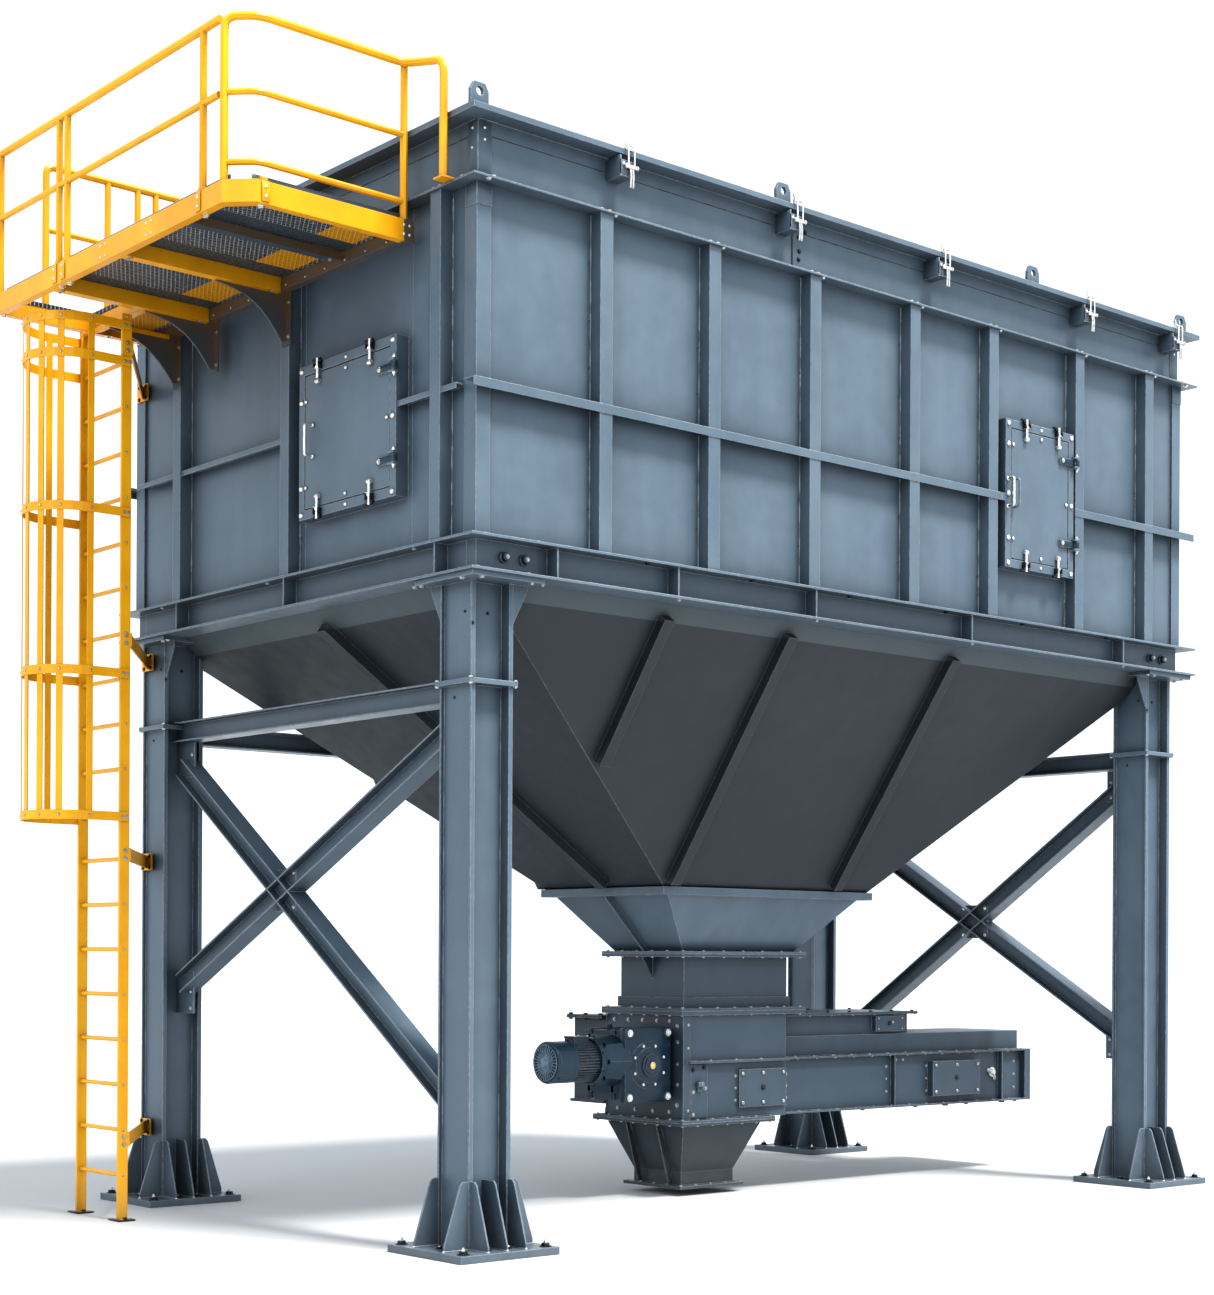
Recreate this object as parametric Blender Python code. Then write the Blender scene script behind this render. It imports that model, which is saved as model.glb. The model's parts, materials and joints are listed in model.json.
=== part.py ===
"""Steel coal bunker on four columns: a ribbed bin with a clamped lid, a pyramid hopper, a feeder
with its conveyor casing and drive, a ladder with a cage and a railed platform.

Metres, +Z up. The long side of the bin runs along X, its front wall faces -Y, and the platform
and the ladder stand off its left wall, which faces -X. Sizes below are measured from the middle
of the bin at ground level; the empty called bunker_frame carries everything and is moved along X
so that the middle of the whole footprint lies on the origin.
"""

import math

import bmesh
import bpy
from mathutils import Matrix, Vector

# Gap that pieces which touch keep between their faces
GAP = 0.0003
# How far a welded piece is sunk into the one that carries it
SINK = 0.004

# Bin: half sizes of its outer faces, and its levels
BIN_X = 3.47
BIN_Y = 2.00
PLATE = 0.010
RING_Z0 = 4.01
RING_Z1 = 4.225
MID_RIB_Z = 5.125
BIN_TOP = 6.30
COAMING_TOP = 6.575
LID_TOP = 6.70

# Ring beam: an I section all round under the walls
RING_OUT = 0.11
RING_FLANGE = 0.20
RING_FLANGE_T = 0.016
RING_WEB_T = 0.012
RING_STIFFENER_T = 0.012

# Ribs: angles welded by the toe of their web
RIB_DEPTH = 0.095
RIB_WIDTH = 0.10
RIB_T = 0.008
FRONT_RIBS = (-2.605, -1.697, -0.778, 0.213, 1.060, 2.060, 2.930)
SIDE_RIBS = (-1.764, -0.120, 1.267)
MID_LIP_FRONT = 0.055
MID_LIP_SIDE = 0.035
POST_WIDTH = 0.085
POST_T = 0.020

# Columns
COLUMN_X = 3.31
COLUMN_Y = 1.80
COLUMN_HALF = 0.155
FRONT_LIP = 0.030
FRONT_RECESS = 0.075
SIDE_LIP = 0.014
SIDE_RECESS = 0.024
BASE_HALF = 0.365
BASE_T = 0.045
BASE_GUSSET_H = 0.40
GUSSET_T = 0.011
LIP_ROOT = 0.010
HEAD_GUSSET_H = 0.26
COLLAR_Z = 3.40
COLLAR_T = 0.030
COLLAR_OUT = 0.022
CAP_T = 0.030
CAP_OUT = 0.085
CAP_IN = 0.290
NOTCH_GAP = 0.001

# Bracing: I sections with their webs in the plane of the brace. The low ends of the two bars stand
# at unlike heights: first at the front column, then at the back column
BRACE_DEPTH = 0.14
BRACE_WIDTH = 0.14
BRACE_T = 0.011
BRACE_HIGH_Z = 3.18
BRACE_LOW_Z = {"brace_left": (0.82, 1.50), "brace_right": (1.12, 0.82)}
BRACE_PLATE_REACH = 0.24
BRACE_PLATE_HALF_H = 0.15
BRACE_PLATE_T = 0.016
CROSSING_PLATE_HALF = 0.14
CROSSING_PLATE_T = 0.020
STRUT_Z = 3.35

# Hopper: half sizes and middle of each level
HOPPER_T = 0.010
HOPPER_RIBS = (-1.85, -0.73, 0.94)
HOPPER_SIDE_RIBS = (-0.10,)
HOPPER_RIB_W = 0.085
HOPPER_RIB_D = 0.070
OUTLET_X = 0.30
JOINT_Z = 2.235
JOINT_HALF = (1.01, 0.64)
RING_LEG = (0.080, 0.050)
RING_LIP_T = 0.008
NECK_X = 0.26
NECK_TOP_Z = 1.81
NECK_HALF = (0.536, 0.351)
NECK_FLANGE_HALF = (0.643, 0.455)
NECK_FLANGE_T = 0.020
NECK_BOTTOM_Z = 1.370
FIN_HALF_T = 0.007

# Feeder, conveyor casing and discharge chute
FEEDER_X0 = -0.350
FEEDER_X1 = 0.710
FEEDER_Y = 0.430
FEEDER_Z0 = 0.573
FEEDER_Z1 = 1.340
TAIL_X = (-0.360, 0.400)
TAIL_Y1 = 0.800
TAIL_Z = (0.670, 1.298)
TAIL_COVER_T = 0.024
TAIL_COVER_OUT = 0.045
CASING_END = 3.665
CASING_Y = 0.385
CASING_FLANGE_Y = 0.435
CASING_FLANGE_T = 0.014
CASING_TOP = 1.005
CASING_JOINTS = (1.96, 3.30)
CASING_END_FRAME = 0.074
CASING_HATCH = ((2.40, 2.99), (0.645, 0.930))
FEEDER_HATCH = ((0.200, 0.698), (0.645, 0.930))
STEP_END = 3.590
STEP_Z = 1.160
HOOD_END = 2.220
HOOD_Z = 1.321
ROOF_END = 2.300
ROOF_T = 0.022
HOOD_DOOR = ((1.800, 2.140), (1.180, 1.305))
CHUTE_X = 0.053
CHUTE_FLANGE_HALF = (0.475, 0.505)
CHUTE_TOP_HALF = (0.405, 0.435)
CHUTE_BOTTOM_HALF = (0.266, 0.262)
CHUTE_SPOUT_H = 0.120
CHUTE_FOOT_HALF = (0.323, 0.321)
CHUTE_FOOT_Z = 0.049
CHUTE_FOOT_T = 0.024
CHUTE_FIN_Y = 0.17
FLANGE_T = 0.020

# Drive
DRIVE_Z = 0.980
GEARBOX_X = (-0.810, -0.420)
GEARBOX_Y = (-0.330, 0.140)
GEARBOX_Z = (0.730, 1.233)
BOSS_R = 0.125
HUB_R = 0.085
SEAT_Y = -0.100
SEAT_R = 0.165
ADAPTER_LENGTH = 0.225
ADAPTER_R = (0.190, 0.160)
MOTOR_Y = -0.190
MOTOR_Z = 1.015
MOTOR_R = 0.150
MOTOR_END = -1.440
COWL_LENGTH = 0.175

# Doors: outer edges of the frames, the strips of wall they stand in, their face width and the
# doors themselves
FRONT_DOOR = ((1.245, 2.035), (4.60, 5.67))
SIDE_DOOR = ((-1.318, -0.250), (4.55, 5.53))
FRONT_BAY = (1.20, 2.05)
SIDE_BAY = (-1.36, -0.18)
FRONT_GRIP_INSET = 0.020
SIDE_GRIP_INSET = 0.090
GRIP_HALF_H = 0.10
GRIP_OUT = 0.060
GRIP_R = 0.008
FRAME_W = 0.060
DOOR_GAP = 0.008
DOOR_T = 0.028
PIN_R = 0.008
EYE_R = 0.016
EYE_HOLE_R = 0.0085
EYE_HEIGHT = 0.050
LUG_T = 0.014
LUG_GAP = 0.003

# Platform: an edge channel round a deck, cross beams, and brackets on the wall
DECK_Z = 6.16
EDGE_H = 0.13
EDGE_T = 0.055
DECK_X0 = -4.80
DECK_X1 = -3.5653
DECK_Y0 = -1.50
DECK_Y1 = 1.56
DECK_CHAMFER = 0.14
DECK_T = 0.030
CROSS_BEAMS = (-0.10, 0.80)
LIGHT_BEAM_Y = -0.80
BEAM_W = 0.070
HATCH_HALF = 0.34
HATCH_X0 = -4.72
HATCH_EDGE = 0.050
BRACKET_YS = (-0.10, 0.80, 1.30)
BRACKET_T = 0.012
BRACKET_REACH = 0.52
BRACKET_DROP = 0.32

# Guard rails: posts at their places along the outer edge and the back edge
RAIL_R = 0.025
POST_R = 0.023
MID_RAIL_R = 0.020
RAIL_TOP = 7.10
RAIL_MID = 6.67
RAIL_LOW = 6.27
RAIL_INSET = 0.028
OUTER_POSTS = (-1.10, 0.58, 0.69)
BACK_POSTS = (-4.45, -3.99, -3.76)
BACK_RAIL_END = -2.95
FRONT_POST_END = (-3.625, -1.87)
FRONT_RAIL_FALL = 0.10

# Ladder and its cage
LADDER_X = -4.17
LADDER_Y = 1.21
LADDER_HALF = 0.29
RUNG_PITCH = 0.30
RUNG_COUNT = 20
RUNG_R = 0.015
STRINGER_W = 0.070
STRINGER_T = 0.022
STAY_T = 0.012
STAY_H = 0.090
STAY_FOOT_H = 0.120
STAY_FOOT_W = 0.150
CAGE_DEPTH = 0.56
CAGE_BAR = 0.008
HOOP_H = 0.060
HOOP_LEVELS = (2.68, 3.63, 4.70, 5.70, 5.94)
CAGE_FLATS = (90, 128, 154, 180, 206, 232, 270)

# Middle of the footprint, from the outer edge of the platform to the right base plates
FOOTPRINT_LEFT = DECK_X0
FOOTPRINT_RIGHT = COLUMN_X + BASE_HALF
CENTRE_X = (FOOTPRINT_LEFT + FOOTPRINT_RIGHT) / 2

SLATE = (0.135, 0.175, 0.215, 1.0)
DARK_SLATE = (0.075, 0.095, 0.115, 1.0)
YELLOW = (0.90, 0.42, 0.02, 1.0)


def clear_scene():
    for item in list(bpy.data.objects):
        bpy.data.objects.remove(item, do_unlink=True)


def new_collection(name):
    made = bpy.data.collections.new(name)
    bpy.context.scene.collection.children.link(made)
    return made


def paint(name, colour, roughness, metallic):
    made = bpy.data.materials.new(name)
    made.use_nodes = True
    shader = made.node_tree.nodes["Principled BSDF"]
    shader.inputs["Base Color"].default_value = colour
    shader.inputs["Roughness"].default_value = roughness
    shader.inputs["Metallic"].default_value = metallic
    return made


def add_object(name, mesh):
    made = bpy.data.objects.new(name, mesh)
    bpy.context.scene.collection.objects.link(made)
    return made


# Shapes

def prism(outlines, length, place):
    """A flat outline, with any holes, pushed out to a length and set in its place."""
    flat = bpy.data.curves.new("outline", "CURVE")
    flat.dimensions = "2D"
    flat.fill_mode = "BOTH"
    flat.extrude = length / 2
    for outline in outlines:
        spline = flat.splines.new("POLY")
        spline.points.add(len(outline) - 1)
        for point, (u, v) in zip(spline.points, outline):
            point.co = (u, v, 0, 1)
        spline.use_cyclic_u = True
    return solid_of(add_object("outline", flat), place)


def solid_of(curve_object, place):
    """A curve object made a closed mesh, with its caps welded."""
    bpy.context.view_layer.update()
    seen = curve_object.evaluated_get(bpy.context.evaluated_depsgraph_get())
    mesh = bpy.data.meshes.new_from_object(seen)
    bpy.data.objects.remove(curve_object, do_unlink=True)
    shape = bmesh.new()
    shape.from_mesh(mesh)
    bmesh.ops.remove_doubles(shape, verts=shape.verts, dist=0.00001)
    bmesh.ops.recalc_face_normals(shape, faces=shape.faces)
    shape.to_mesh(mesh)
    shape.free()
    made = add_object("piece", mesh)
    made.matrix_world = place
    return made


def plan_prism(outlines, z0, z1):
    """Outlines in X and Y, pushed up from z0 to z1."""
    return prism(outlines, z1 - z0, Matrix.Translation((0, 0, (z0 + z1) / 2)))


def front_prism(outlines, y0, y1):
    """Outlines in X and Z, pushed along Y from y0 to y1."""
    turn = Matrix(((1, 0, 0, 0), (0, 0, -1, (y0 + y1) / 2), (0, 1, 0, 0), (0, 0, 0, 1)))
    return prism(outlines, y1 - y0, turn)


def side_prism(outlines, x0, x1):
    """Outlines in Y and Z, pushed along X from x0 to x1."""
    turn = Matrix(((0, 0, 1, (x0 + x1) / 2), (1, 0, 0, 0), (0, 1, 0, 0), (0, 0, 0, 1)))
    return prism(outlines, x1 - x0, turn)


def rectangle(u0, u1, v0, v1):
    return [(u0, v0), (u1, v0), (u1, v1), (u0, v1)]


def centred(x, half):
    return rectangle(x - half[0], x + half[0], -half[1], half[1])


def box(x0, x1, y0, y1, z0, z1):
    made = bmesh.new()
    bmesh.ops.create_cube(made, size=1)
    size = Matrix.Diagonal((x1 - x0, y1 - y0, z1 - z0, 1))
    middle = Matrix.Translation(((x0 + x1) / 2, (y0 + y1) / 2, (z0 + z1) / 2))
    bmesh.ops.transform(made, matrix=middle @ size, verts=made.verts)
    mesh = bpy.data.meshes.new("box")
    made.to_mesh(mesh)
    made.free()
    return add_object("piece", mesh)


def cylinder(start, end, radius, sides=16, end_radius=None):
    """A round bar, or a cone with its own end radius, from one point to another."""
    start, end = Vector(start), Vector(end)
    made = bmesh.new()
    bmesh.ops.create_cone(made, cap_ends=True, segments=sides, radius1=radius,
                          radius2=radius if end_radius is None else end_radius,
                          depth=(end - start).length)
    turn = (end - start).to_track_quat("Z", "Y").to_matrix().to_4x4()
    place = Matrix.Translation((start + end) / 2) @ turn
    bmesh.ops.transform(made, matrix=place, verts=made.verts)
    mesh = bpy.data.meshes.new("bar")
    made.to_mesh(mesh)
    made.free()
    mesh.shade_smooth()
    mesh.set_sharp_from_angle(angle=math.radians(40))
    return add_object("piece", mesh)


def section_bar(outline, start, end, side):
    """A section carried along a straight line; u runs along side, v square to it."""
    start, end = Vector(start), Vector(end)
    along = (end - start).normalized()
    across = (Vector(side) - along * along.dot(Vector(side))).normalized()
    up = along.cross(across)
    turn = Matrix((across, up, along)).transposed().to_4x4()
    place = Matrix.Translation((start + end) / 2) @ turn
    return prism([outline], (end - start).length, place)


def tube(points, radius, closed=False):
    """A round tube along straight runs between points."""
    path = bpy.data.curves.new("tube", "CURVE")
    path.dimensions = "3D"
    path.bevel_depth = radius
    path.bevel_resolution = 2
    path.use_fill_caps = True
    spline = path.splines.new("POLY")
    spline.points.add(len(points) - 1)
    for point, place in zip(spline.points, points):
        point.co = (*place, 1)
    spline.use_cyclic_u = closed
    made = solid_of(add_object("tube", path), Matrix.Identity(4))
    made.data.shade_smooth()
    made.data.set_sharp_from_angle(angle=math.radians(40))
    return made


def bent(points, radius, steps=4):
    """The same route with each inner corner rounded by an arc of a quadratic curve."""
    route = [Vector(points[0])]
    for before, corner, after in zip(points, points[1:], points[2:]):
        before, corner, after = Vector(before), Vector(corner), Vector(after)
        enter = corner + (before - corner).normalized() * radius
        leave = corner + (after - corner).normalized() * radius
        for step in range(steps + 1):
            t = step / steps
            route.append(enter * (1 - t) ** 2 + corner * 2 * t * (1 - t) + leave * t * t)
    route.append(Vector(points[-1]))
    return route


def frustum(x_low, half_low, z_low, x_high, half_high, z_high):
    """A solid between two unlike rectangles, one above the other."""
    made = bmesh.new()
    rings = []
    for x, half, z in ((x_low, half_low, z_low), (x_high, half_high, z_high)):
        rings.append([made.verts.new((u, v, z)) for u, v in centred(x, half)])
    made.faces.new(list(reversed(rings[0])))
    made.faces.new(rings[1])
    for i in range(4):
        j = (i + 1) % 4
        made.faces.new((rings[0][i], rings[0][j], rings[1][j], rings[1][i]))
    mesh = bpy.data.meshes.new("frustum")
    made.to_mesh(mesh)
    made.free()
    return add_object("piece", mesh)


def hexahedron(outer, inner):
    """A plate between an outer and an inner four-cornered face."""
    made = bmesh.new()
    faces = [[made.verts.new(p) for p in corners] for corners in (outer, inner)]
    made.faces.new(faces[0])
    made.faces.new(list(reversed(faces[1])))
    for i in range(4):
        j = (i + 1) % 4
        made.faces.new((faces[0][j], faces[0][i], faces[1][i], faces[1][j]))
    bmesh.ops.recalc_face_normals(made, faces=made.faces)
    mesh = bpy.data.meshes.new("plate")
    made.to_mesh(mesh)
    made.free()
    return add_object("piece", mesh)


def cutter_group(owner, pieces, kind):
    """The helper pieces of one Boolean, hidden, in a collection of their own."""
    group = bpy.data.collections.new(f"{owner}_{kind.lower()}")
    CUTTERS.children.link(group)
    for number, piece in enumerate(pieces):
        piece.name = f"{owner}_{kind.lower()}_{number:02d}"
        for holder in list(piece.users_collection):
            holder.objects.unlink(piece)
        group.objects.link(piece)
        piece.hide_render = True
        piece.display_type = "WIRE"
        keep = piece.matrix_world.copy()
        piece.parent = FRAME
        piece.matrix_local = keep
    return group


def node(name, pieces, material, holes=()):
    """One sub-part: its first piece carries the name, and waits to be joined with the rest."""
    body = pieces[0]
    keep = body.matrix_world.copy()
    JOINS.append((body, pieces[1:], holes))
    body.name = name
    for holder in list(body.users_collection):
        holder.objects.unlink(body)
    PARTS.objects.link(body)
    body.parent = FRAME
    body.matrix_local = keep
    body.data.materials.clear()
    body.data.materials.append(material)
    return body


def join_all():
    """Joins every sub-part's pieces into one body and cuts its holes."""
    for body, others, holes in JOINS:
        for kind, group in (("UNION", others), ("DIFFERENCE", holes)):
            if group:
                step = body.modifiers.new(kind.lower(), "BOOLEAN")
                step.operation = kind
                step.solver = "EXACT"
                step.operand_type = "COLLECTION"
                step.collection = cutter_group(body.name, group, kind)


def hang_on(body, pivot):
    """Moves a body's origin to its hinge axis without moving its shape."""
    bpy.context.view_layer.update()
    shift = body.matrix_local.inverted() @ Matrix.Translation(Vector(pivot))
    body.data.transform(shift.inverted())
    body.matrix_local = body.matrix_local @ shift


# Sections

def i_section(depth, width, flange, web):
    """u across the flanges, v along the web."""
    w, h, t = width / 2, depth / 2, web / 2
    return [(-w, -h), (w, -h), (w, -h + flange), (t, -h + flange), (t, h - flange), (w, h - flange),
            (w, h), (-w, h), (-w, h - flange), (-t, h - flange), (-t, -h + flange), (-w, -h + flange)]


def column_outline(x, y):
    """A built-up column: deep recesses to the front and back, shallow ones to either side."""
    outer = COLUMN_HALF
    front_lip, front_floor = outer - FRONT_LIP, outer - FRONT_RECESS
    side_lip, side_floor = outer - SIDE_LIP, outer - SIDE_RECESS
    right = [(outer, -outer), (outer, -side_lip), (side_floor, -side_lip), (side_floor, side_lip),
             (outer, side_lip)]
    back = [(outer, outer), (front_lip, outer), (front_lip, front_floor), (-front_lip, front_floor),
            (-front_lip, outer)]
    half = right + back
    return [(x + u, y + v) for u, v in half] + [(x - u, y - v) for u, v in half]


def rib_run(starts, face, out):
    """Points along a wall's outer face, from its far end to its near end, with its ribs."""
    tip = face + out * RIB_DEPTH
    points = []
    for start in sorted(starts, reverse=True):
        points += [(start + RIB_T, face), (start + RIB_T, tip - out * RIB_T),
                   (start + RIB_WIDTH, tip - out * RIB_T), (start + RIB_WIDTH, tip),
                   (start, tip), (start, face)]
    return points


def swap(points):
    return [(v, u) for u, v in points]


# Bin walls

def wall_plate(along0, along1, face, out, ribs, post0=False, post1=False):
    """A wall panel in plan: the plate, its ribs, and a corner post at either end."""
    inner = face - out * PLATE
    proud = face + out * POST_T
    start = along0 - (GAP if post0 else 0)
    end = along1 + (GAP if post1 else 0)
    points = [(start, inner), (end, inner)]
    if post1:
        points += [(end, face - out * (PLATE + POST_WIDTH)),
                   (end + POST_T, face - out * (PLATE + POST_WIDTH)),
                   (end + POST_T, proud), (along1 - POST_WIDTH, proud),
                   (along1 - POST_WIDTH, face)]
    else:
        points.append((end, face))
    points += rib_run(ribs, face, out)
    if post0:
        points += [(along0 + POST_WIDTH, face), (along0 + POST_WIDTH, proud),
                   (start - POST_T, proud), (start - POST_T, face - out * (PLATE + POST_WIDTH)),
                   (start, face - out * (PLATE + POST_WIDTH))]
    else:
        points.append((start, face))
    return points


WALL_Z0 = RING_Z1 + GAP
WALL_Z1 = BIN_TOP - 0.012 - GAP


def mid_rib_front(x0, x1, face, out):
    """The level rib of a long wall, an angle whose lip laps over the upright ribs."""
    tip = face + out * (RIB_DEPTH + 0.006)
    leg = [(face - out * SINK, MID_RIB_Z - RIB_T), (tip, MID_RIB_Z - RIB_T),
           (tip, MID_RIB_Z), (face - out * SINK, MID_RIB_Z)]
    lip = rectangle(min(tip, tip - out * 0.010), max(tip, tip - out * 0.010),
                    MID_RIB_Z - MID_LIP_FRONT, MID_RIB_Z - RIB_T / 2)
    return [side_prism([leg], x0, x1), side_prism([lip], x0, x1)]


def mid_rib_side(y0, y1, face, out):
    """A length of level rib between two upright ribs of a short wall."""
    tip = face + out * (RIB_DEPTH - 0.012)
    leg = rectangle(min(face - out * SINK, tip), max(face - out * SINK, tip),
                    MID_RIB_Z - RIB_T, MID_RIB_Z)
    lip = rectangle(min(tip, tip - out * RIB_T), max(tip, tip - out * RIB_T),
                    MID_RIB_Z - MID_LIP_SIDE, MID_RIB_Z - RIB_T / 2)
    return [front_prism([leg], y0, y1), front_prism([lip], y0, y1)]


def long_wall(name, x0, x1, face, out, ribs, post0, post1):
    outline = wall_plate(x0, x1, face, out, ribs, post0, post1)
    pieces = [plan_prism([outline], WALL_Z0, WALL_Z1)]
    rib0 = x0 - RIB_DEPTH if post0 else x0
    rib1 = x1 + RIB_DEPTH if post1 else x1
    pieces += mid_rib_front(rib0, rib1, face, out)
    return node(name, pieces, SLATE_PAINT)


def short_wall(name, y0, y1, face, out, ribs, spans):
    outline = swap(wall_plate(y0, y1, face, out, ribs))
    pieces = [plan_prism([outline], WALL_Z0, WALL_Z1)]
    for start, end in spans:
        pieces += mid_rib_side(start, end, face, out)
    return node(name, pieces, SLATE_PAINT)


def side_spans(y0, y1, ribs):
    """Stretches of level rib between the upright ribs, each sunk a little into its neighbours."""
    starts = [y0] + [rib + RIB_T / 2 for rib in ribs]
    ends = [rib + RIB_T / 2 for rib in ribs] + [y1]
    return list(zip(starts, ends))


def build_walls():
    inner_y = BIN_Y - PLATE - GAP
    left_ribs = FRONT_RIBS[:5]
    right_ribs = FRONT_RIBS[5:]
    long_wall("front_wall_left", -BIN_X, FRONT_BAY[0] - GAP, -BIN_Y, -1, left_ribs, True, False)
    long_wall("front_wall_right", FRONT_BAY[1] + GAP, BIN_X, -BIN_Y, -1, right_ribs, False, True)
    long_wall("back_wall", -BIN_X, BIN_X, BIN_Y, 1, FRONT_RIBS, True, True)
    low, high = SIDE_BAY
    short_wall("left_wall_front", -inner_y, low - GAP, -BIN_X, -1, SIDE_RIBS[:1],
               side_spans(-inner_y + POST_WIDTH, low - GAP, SIDE_RIBS[:1]))
    short_wall("left_wall_back", high + GAP, inner_y, -BIN_X, -1, SIDE_RIBS[1:],
               side_spans(SIDE_RIBS[1] + RIB_T / 2, inner_y - POST_WIDTH, SIDE_RIBS[2:]))
    short_wall("right_wall", -inner_y, inner_y, BIN_X, 1, SIDE_RIBS,
               side_spans(-inner_y + POST_WIDTH, inner_y - POST_WIDTH, SIDE_RIBS))


# Door bays, doors and hinges

def ring_outline(u, v, inset):
    """A rectangular ring: its outer edge and the hole left by its face width."""
    outer = rectangle(u[0], u[1], v[0], v[1])
    hole = rectangle(u[0] + inset, u[1] - inset, v[0] + inset, v[1] - inset)
    return [outer, hole]


def hinge_levels(height):
    low, high = height
    return (low + 0.23 * (high - low), low + 0.80 * (high - low))


def front_hinge():
    return (FRONT_DOOR[0][1] + 0.012, -BIN_Y - RIB_DEPTH - 0.022)


def side_hinge():
    return (-BIN_X - RIB_DEPTH - 0.022, SIDE_DOOR[0][0] - 0.012)


def lug_outline(edge, face, axis, out, away):
    """A hinge lug in plan: sunk into the frame's face, and reaching past its edge round the pin.

    u runs along the wall and away points past the edge; v is square to the wall."""
    root = edge - away * 0.030
    tip = axis[0] + away * 0.015
    front = axis[1] + out * 0.017
    return [(root, face - out * SINK), (edge - away * 0.004, face - out * SINK),
            (edge - away * 0.004, face + out * 0.005), (tip, face + out * 0.005),
            (tip, front), (root, front)]


def hinge_lugs(edge, face, axis, out, away, level, turn):
    """Two fixed lugs and their pin at one level."""
    reach = EYE_HEIGHT / 2 + LUG_GAP
    outline = lug_outline(edge, face, axis, out, away)
    outline = swap(outline) if turn else outline
    where = (axis[1], axis[0]) if turn else axis
    lower = plan_prism([outline], level - reach - LUG_T, level - reach)
    upper = plan_prism([outline], level + reach, level + reach + LUG_T)
    pin = cylinder((*where, level - reach - LUG_T - 0.010), (*where, level + reach + LUG_T + 0.010),
                   PIN_R, 12)
    return [lower, upper, pin]


def door_bay(along, bay, height, face, out, turn, stub):
    """The strip of wall with the doorway, its proud frame and a stub of level rib."""
    tip = face + out * RIB_DEPTH
    inner = face - out * PLATE
    pusher = side_prism if turn else front_prism
    wall = ring_outline(along, height, FRAME_W / 2)[1]
    plate = pusher([rectangle(bay[0], bay[1], WALL_Z0, WALL_Z1), wall], min(face, inner),
                   max(face, inner))
    frame = pusher(ring_outline(along, height, FRAME_W), min(tip, inner - out * 0.001),
                   max(tip, inner - out * 0.001))
    return [plate, frame] + stub


def strap_hinge(axis, edge, face, out, away, level, turn):
    """A strap on the door, an eye round the pin, and the pad that carries them."""
    back = face + out * 0.0055
    front = face + out * 0.0145
    inside = edge - away * (FRAME_W + 0.115)
    pad_end = edge - away * (FRAME_W + DOOR_GAP + 0.012)
    half = EYE_HEIGHT / 2
    strap = [(inside, back), (axis[0], back), (axis[0], front), (inside, front)]
    pad = [(inside + away * 0.004, face - out * 0.010), (pad_end, face - out * 0.010),
           (pad_end, front - out * 0.002), (inside + away * 0.004, front - out * 0.002)]
    strap, pad = (swap(strap), swap(pad)) if turn else (strap, pad)
    where = (axis[1], axis[0]) if turn else axis
    return [plan_prism([strap], level - half, level + half),
            plan_prism([pad], level - half + 0.002, level + half - 0.002),
            cylinder((*where, level - half + 0.0005), (*where, level + half - 0.0005), EYE_R, 20)]


def eye_hole(axis, level, turn):
    where = (axis[1], axis[0]) if turn else axis
    return cylinder((*where, level - EYE_HEIGHT), (*where, level + EYE_HEIGHT), EYE_HOLE_R, 16)


def door_leaf(name, along, height, face, out, away, axis, turn, grip_inset):
    """The door plate in its frame, its straps and its bow handle."""
    edge = along[1] if away > 0 else along[0]
    inset = FRAME_W + DOOR_GAP
    outer = face - out * 0.002
    inner = outer - out * DOOR_T
    pusher = side_prism if turn else front_prism
    leaf = pusher([rectangle(along[0] + inset, along[1] - inset, height[0] + inset,
                             height[1] - inset)], min(outer, inner), max(outer, inner))
    pieces = [leaf]
    holes = []
    for level in hinge_levels(height):
        pieces += strap_hinge(axis, edge, face, out, away, level, turn)
        holes.append(eye_hole(axis, level, turn))
    grip_u = (along[0] if away > 0 else along[1]) + away * (inset + grip_inset)
    middle = (height[0] + height[1]) / 2
    low, high = middle - GRIP_HALF_H, middle + GRIP_HALF_H
    near, far = outer - out * SINK, outer + out * GRIP_OUT
    route = [(grip_u, near, low), (grip_u, far, low), (grip_u, far, high), (grip_u, near, high)]
    if turn:
        route = [(v, u, z) for u, v, z in route]
    pieces.append(tube(bent(route, 0.018), GRIP_R))
    body = node(name, pieces, SLATE_PAINT, holes)
    where = (axis[1], axis[0]) if turn else axis
    hang_on(body, (*where, height[0]))
    return body


def build_doors():
    tip_y = -BIN_Y - RIB_DEPTH
    axis = front_hinge()
    stub = mid_rib_front(FRONT_BAY[0], FRONT_DOOR[0][0] + SINK, -BIN_Y, -1)
    pieces = door_bay(FRONT_DOOR[0], FRONT_BAY, FRONT_DOOR[1], -BIN_Y, -1, False, stub)
    for level in hinge_levels(FRONT_DOOR[1]):
        pieces += hinge_lugs(FRONT_DOOR[0][1], tip_y, axis, -1, 1, level, False)
    node("front_door_bay", pieces, SLATE_PAINT)
    door_leaf("front_door", FRONT_DOOR[0], FRONT_DOOR[1], tip_y, -1, 1, axis, False,
              FRONT_GRIP_INSET)

    tip_x = -BIN_X - RIB_DEPTH
    axis_x, axis_y = side_hinge()
    axis = (axis_y, axis_x)
    stub = mid_rib_side(SIDE_BAY[0], SIDE_DOOR[0][0] + SINK, -BIN_X, -1)
    pieces = door_bay(SIDE_DOOR[0], SIDE_BAY, SIDE_DOOR[1], -BIN_X, -1, True, stub)
    for level in hinge_levels(SIDE_DOOR[1]):
        pieces += hinge_lugs(SIDE_DOOR[0][0], tip_x, axis, -1, -1, level, True)
    node("left_door_bay", pieces, SLATE_PAINT)
    door_leaf("left_door", SIDE_DOOR[0], SIDE_DOOR[1], tip_x, -1, -1, axis, True,
              SIDE_GRIP_INSET)


# Coaming and lid

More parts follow.
